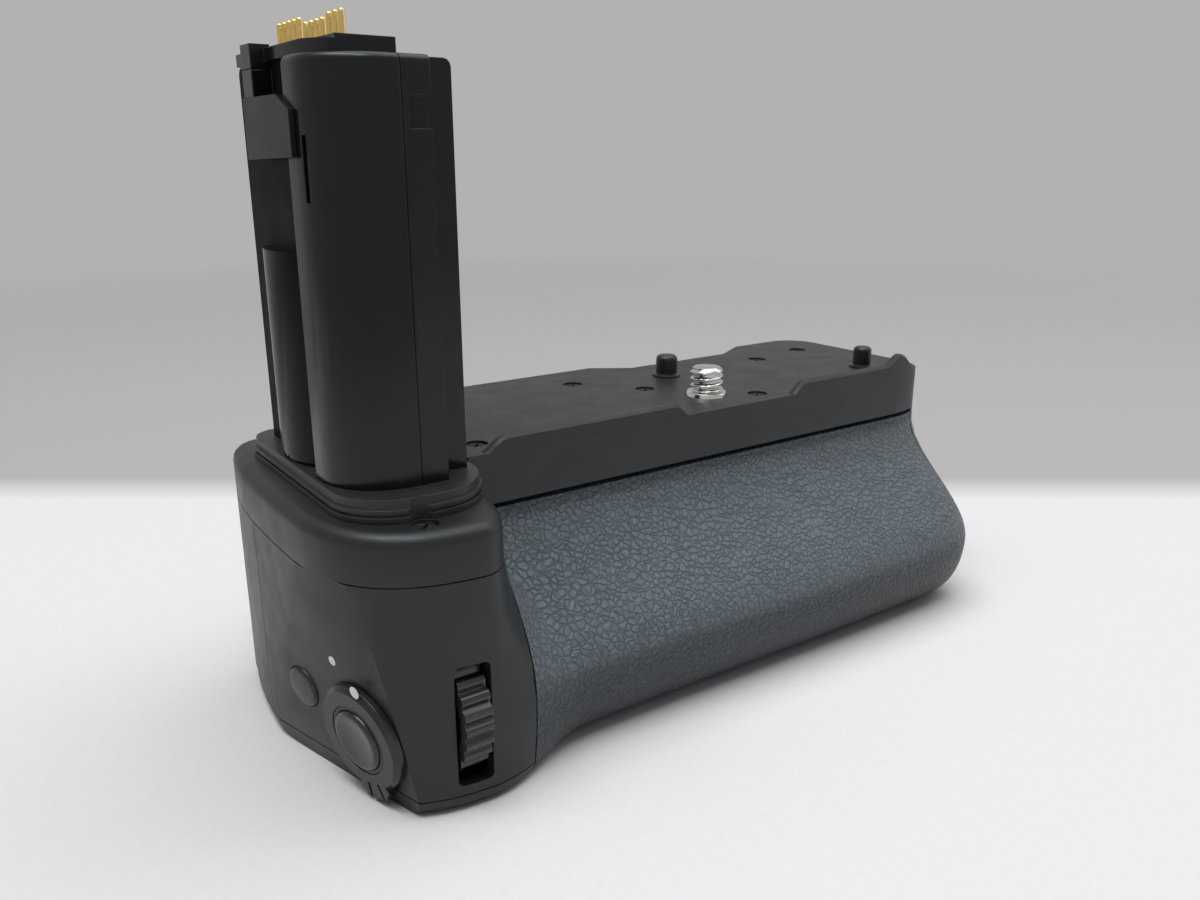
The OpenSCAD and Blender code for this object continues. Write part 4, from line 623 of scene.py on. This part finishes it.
def seen_at(px, py, lift):
    """Point on the control face, lifted by lift mm, that the camera sees at a place in the frame."""
    right = CAMERA_FORWARD.cross(Vector((0, 0, 1))).normalized()
    up = right.cross(CAMERA_FORWARD)
    ray = CAMERA_FORWARD * FOCAL + right * (px - 0.5) + up * (HALF_HEIGHT - py)
    plane = (FACE_AT + FACE_N * lift) * MM
    return (CAMERA_AT + ray * ((plane - CAMERA_AT).dot(FACE_N) / ray.dot(FACE_N))) / MM


def make_dot(name, at, radius, body):
    """A low dome of paint, level with the face it is printed on."""
    rings = []
    for share, height in DOT_RINGS:
        ring = []
        for a in circle(DOT_SIDES):
            out = FACE_DOWN * math.cos(a) + FACE_FRONT * math.sin(a)
            ring.append((at + FACE_N * height + radius * share * out) * MM)
        rings.append(ring)
    points, faces = loft(rings)
    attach(add_mesh(name, points, faces, PAINT, body), body)


make_skin()
make_screw()
for dot_name, (dot_x, dot_y), dot_lift, dot_radius, dot_body in DOTS:
    make_dot(dot_name, seen_at(dot_x / FRAME_W, dot_y / FRAME_W, dot_lift), dot_radius, dot_body)


# Stage: a pale floor that turns grey behind the object and fades out all round, and soft light

FLOOR_HALF = 3.0
PAPER = (0.85, 0.84, 0.855)
GREY = (0.47, 0.455, 0.455)
BACKDROP = (0.455, 0.44, 0.44)
AWAY = Vector((CAMERA_FORWARD.x, CAMERA_FORWARD.y, 0.0)).normalized()
GREY_FROM, GREY_TO = 0.070, 0.090
FADE_FROM, FADE_TO = 0.32, 0.75
FLOOR_ROUGH, WEAVE_MM, WEAVE_SHADES = 0.85, 1.2, (0.97, 1.0)
WEAVE_RELIEF, WEAVE_STRENGTH = 0.05, 0.3


def seen_rays(tree):
    """1 for rays that show the backdrop, direct or in a reflection, 0 for those that light the object."""
    path = tree.nodes.new("ShaderNodeLightPath")
    total = path.outputs["Is Camera Ray"]
    for ray in ("Is Glossy Ray", "Is Transmission Ray"):
        join = tree.nodes.new("ShaderNodeMath")
        join.operation = "ADD"
        join.use_clamp = True
        tree.links.new(total, join.inputs[0])
        tree.links.new(path.outputs[ray], join.inputs[1])
        total = join.outputs["Value"]
    return total


def vector_math(s, operation, a, b=None):
    node = s.tree.nodes.new("ShaderNodeVectorMath")
    node.operation = operation
    s.tree.links.new(a, node.inputs[0])
    if b is not None:
        node.inputs[1].default_value = b
    return node.outputs["Value"]


def make_stage():
    mesh = bpy.data.meshes.new("floor")
    h = FLOOR_HALF
    mesh.from_pydata([(-h, -h, 0), (h, -h, 0), (h, h, 0), (-h, h, 0)], [], [(0, 1, 2, 3)])
    floor = bpy.data.objects.new("floor", mesh)
    bpy.context.scene.collection.objects.link(floor)
    s = Shader("floor_paper", PAPER, FLOOR_ROUGH)
    weave = s.noise(WEAVE_MM, detail=3.0)
    paper = s.between_shades(s.remap(weave, 0.0, 1.0), WEAVE_SHADES)
    behind = s.remap(vector_math(s, "DOT_PRODUCT", s.coord, AWAY), 0.0, 1.0, GREY_FROM, GREY_TO)
    s.set(s.bsdf, "Base Color", s.mix(behind, paper, GREY))
    s.done(s.bump(weave, WEAVE_RELIEF, WEAVE_STRENGTH))
    far = s.remap(vector_math(s, "LENGTH", s.coord), 0.0, 1.0, FADE_FROM, FADE_TO)
    fade = product(s, far, seen_rays(s.tree))
    glow = s.add("ShaderNodeEmission", Color=(*BACKDROP, 1.0), Strength=1.0)
    both = s.tree.nodes.new("ShaderNodeMixShader")
    s.tree.links.new(fade, both.inputs[0])
    s.tree.links.new(s.bsdf.outputs["BSDF"], both.inputs[1])
    s.tree.links.new(glow.outputs["Emission"], both.inputs[2])
    s.tree.links.new(both.outputs["Shader"], s.tree.nodes["Material Output"].inputs["Surface"])
    mesh.materials.append(s.mat)


def add_light(name, at, aim, size, watts, color):
    data = bpy.data.lights.new(name, "AREA")
    data.shape = "RECTANGLE"
    data.size, data.size_y = size
    data.energy = watts
    data.color = color
    light = bpy.data.objects.new(name, data)
    light.location = at
    light.rotation_mode = "QUATERNION"
    light.rotation_quaternion = (Vector(aim) - Vector(at)).to_track_quat("-Z", "Y")
    bpy.context.scene.collection.objects.link(light)


AMBIENT = (0.16, 0.16, 0.165)
# Place, aim and size in metres, watts and colour of each lamp
LAMPS = {
    "top_softbox": ((0.12, 0.0, 1.20), (0.12, 0.0, 0.0), (2.0, 1.2), 12.8, (1.0, 0.995, 0.985)),
    "strip_lamp": ((-0.30, -0.12, 1.15), (0.0, 0.0, 0.0), (0.9, 0.14), 4.6, (0.97, 0.99, 1.0)),
    "side_softbox": ((0.9, -0.3, 0.6), (0.0, 0.0, 0.05), (0.5, 0.8), 1.0, (0.97, 0.98, 1.0)),
}


def make_light():
    world = bpy.data.worlds.new("studio")
    bpy.context.scene.world = world
    world.use_nodes = True
    tree = world.node_tree
    ambient = tree.nodes["Background"]
    ambient.inputs["Color"].default_value = (*AMBIENT, 1.0)
    seen = tree.nodes.new("ShaderNodeBackground")
    seen.inputs["Color"].default_value = (*BACKDROP, 1.0)
    both = tree.nodes.new("ShaderNodeMixShader")
    tree.links.new(seen_rays(tree), both.inputs[0])
    tree.links.new(ambient.outputs["Background"], both.inputs[1])
    tree.links.new(seen.outputs["Background"], both.inputs[2])
    tree.links.new(both.outputs["Shader"], tree.nodes["World Output"].inputs["Surface"])
    for name, lamp in LAMPS.items():
        add_light(name, *lamp)


make_stage()
make_light()
bpy.context.scene.view_settings.view_transform = "Standard"
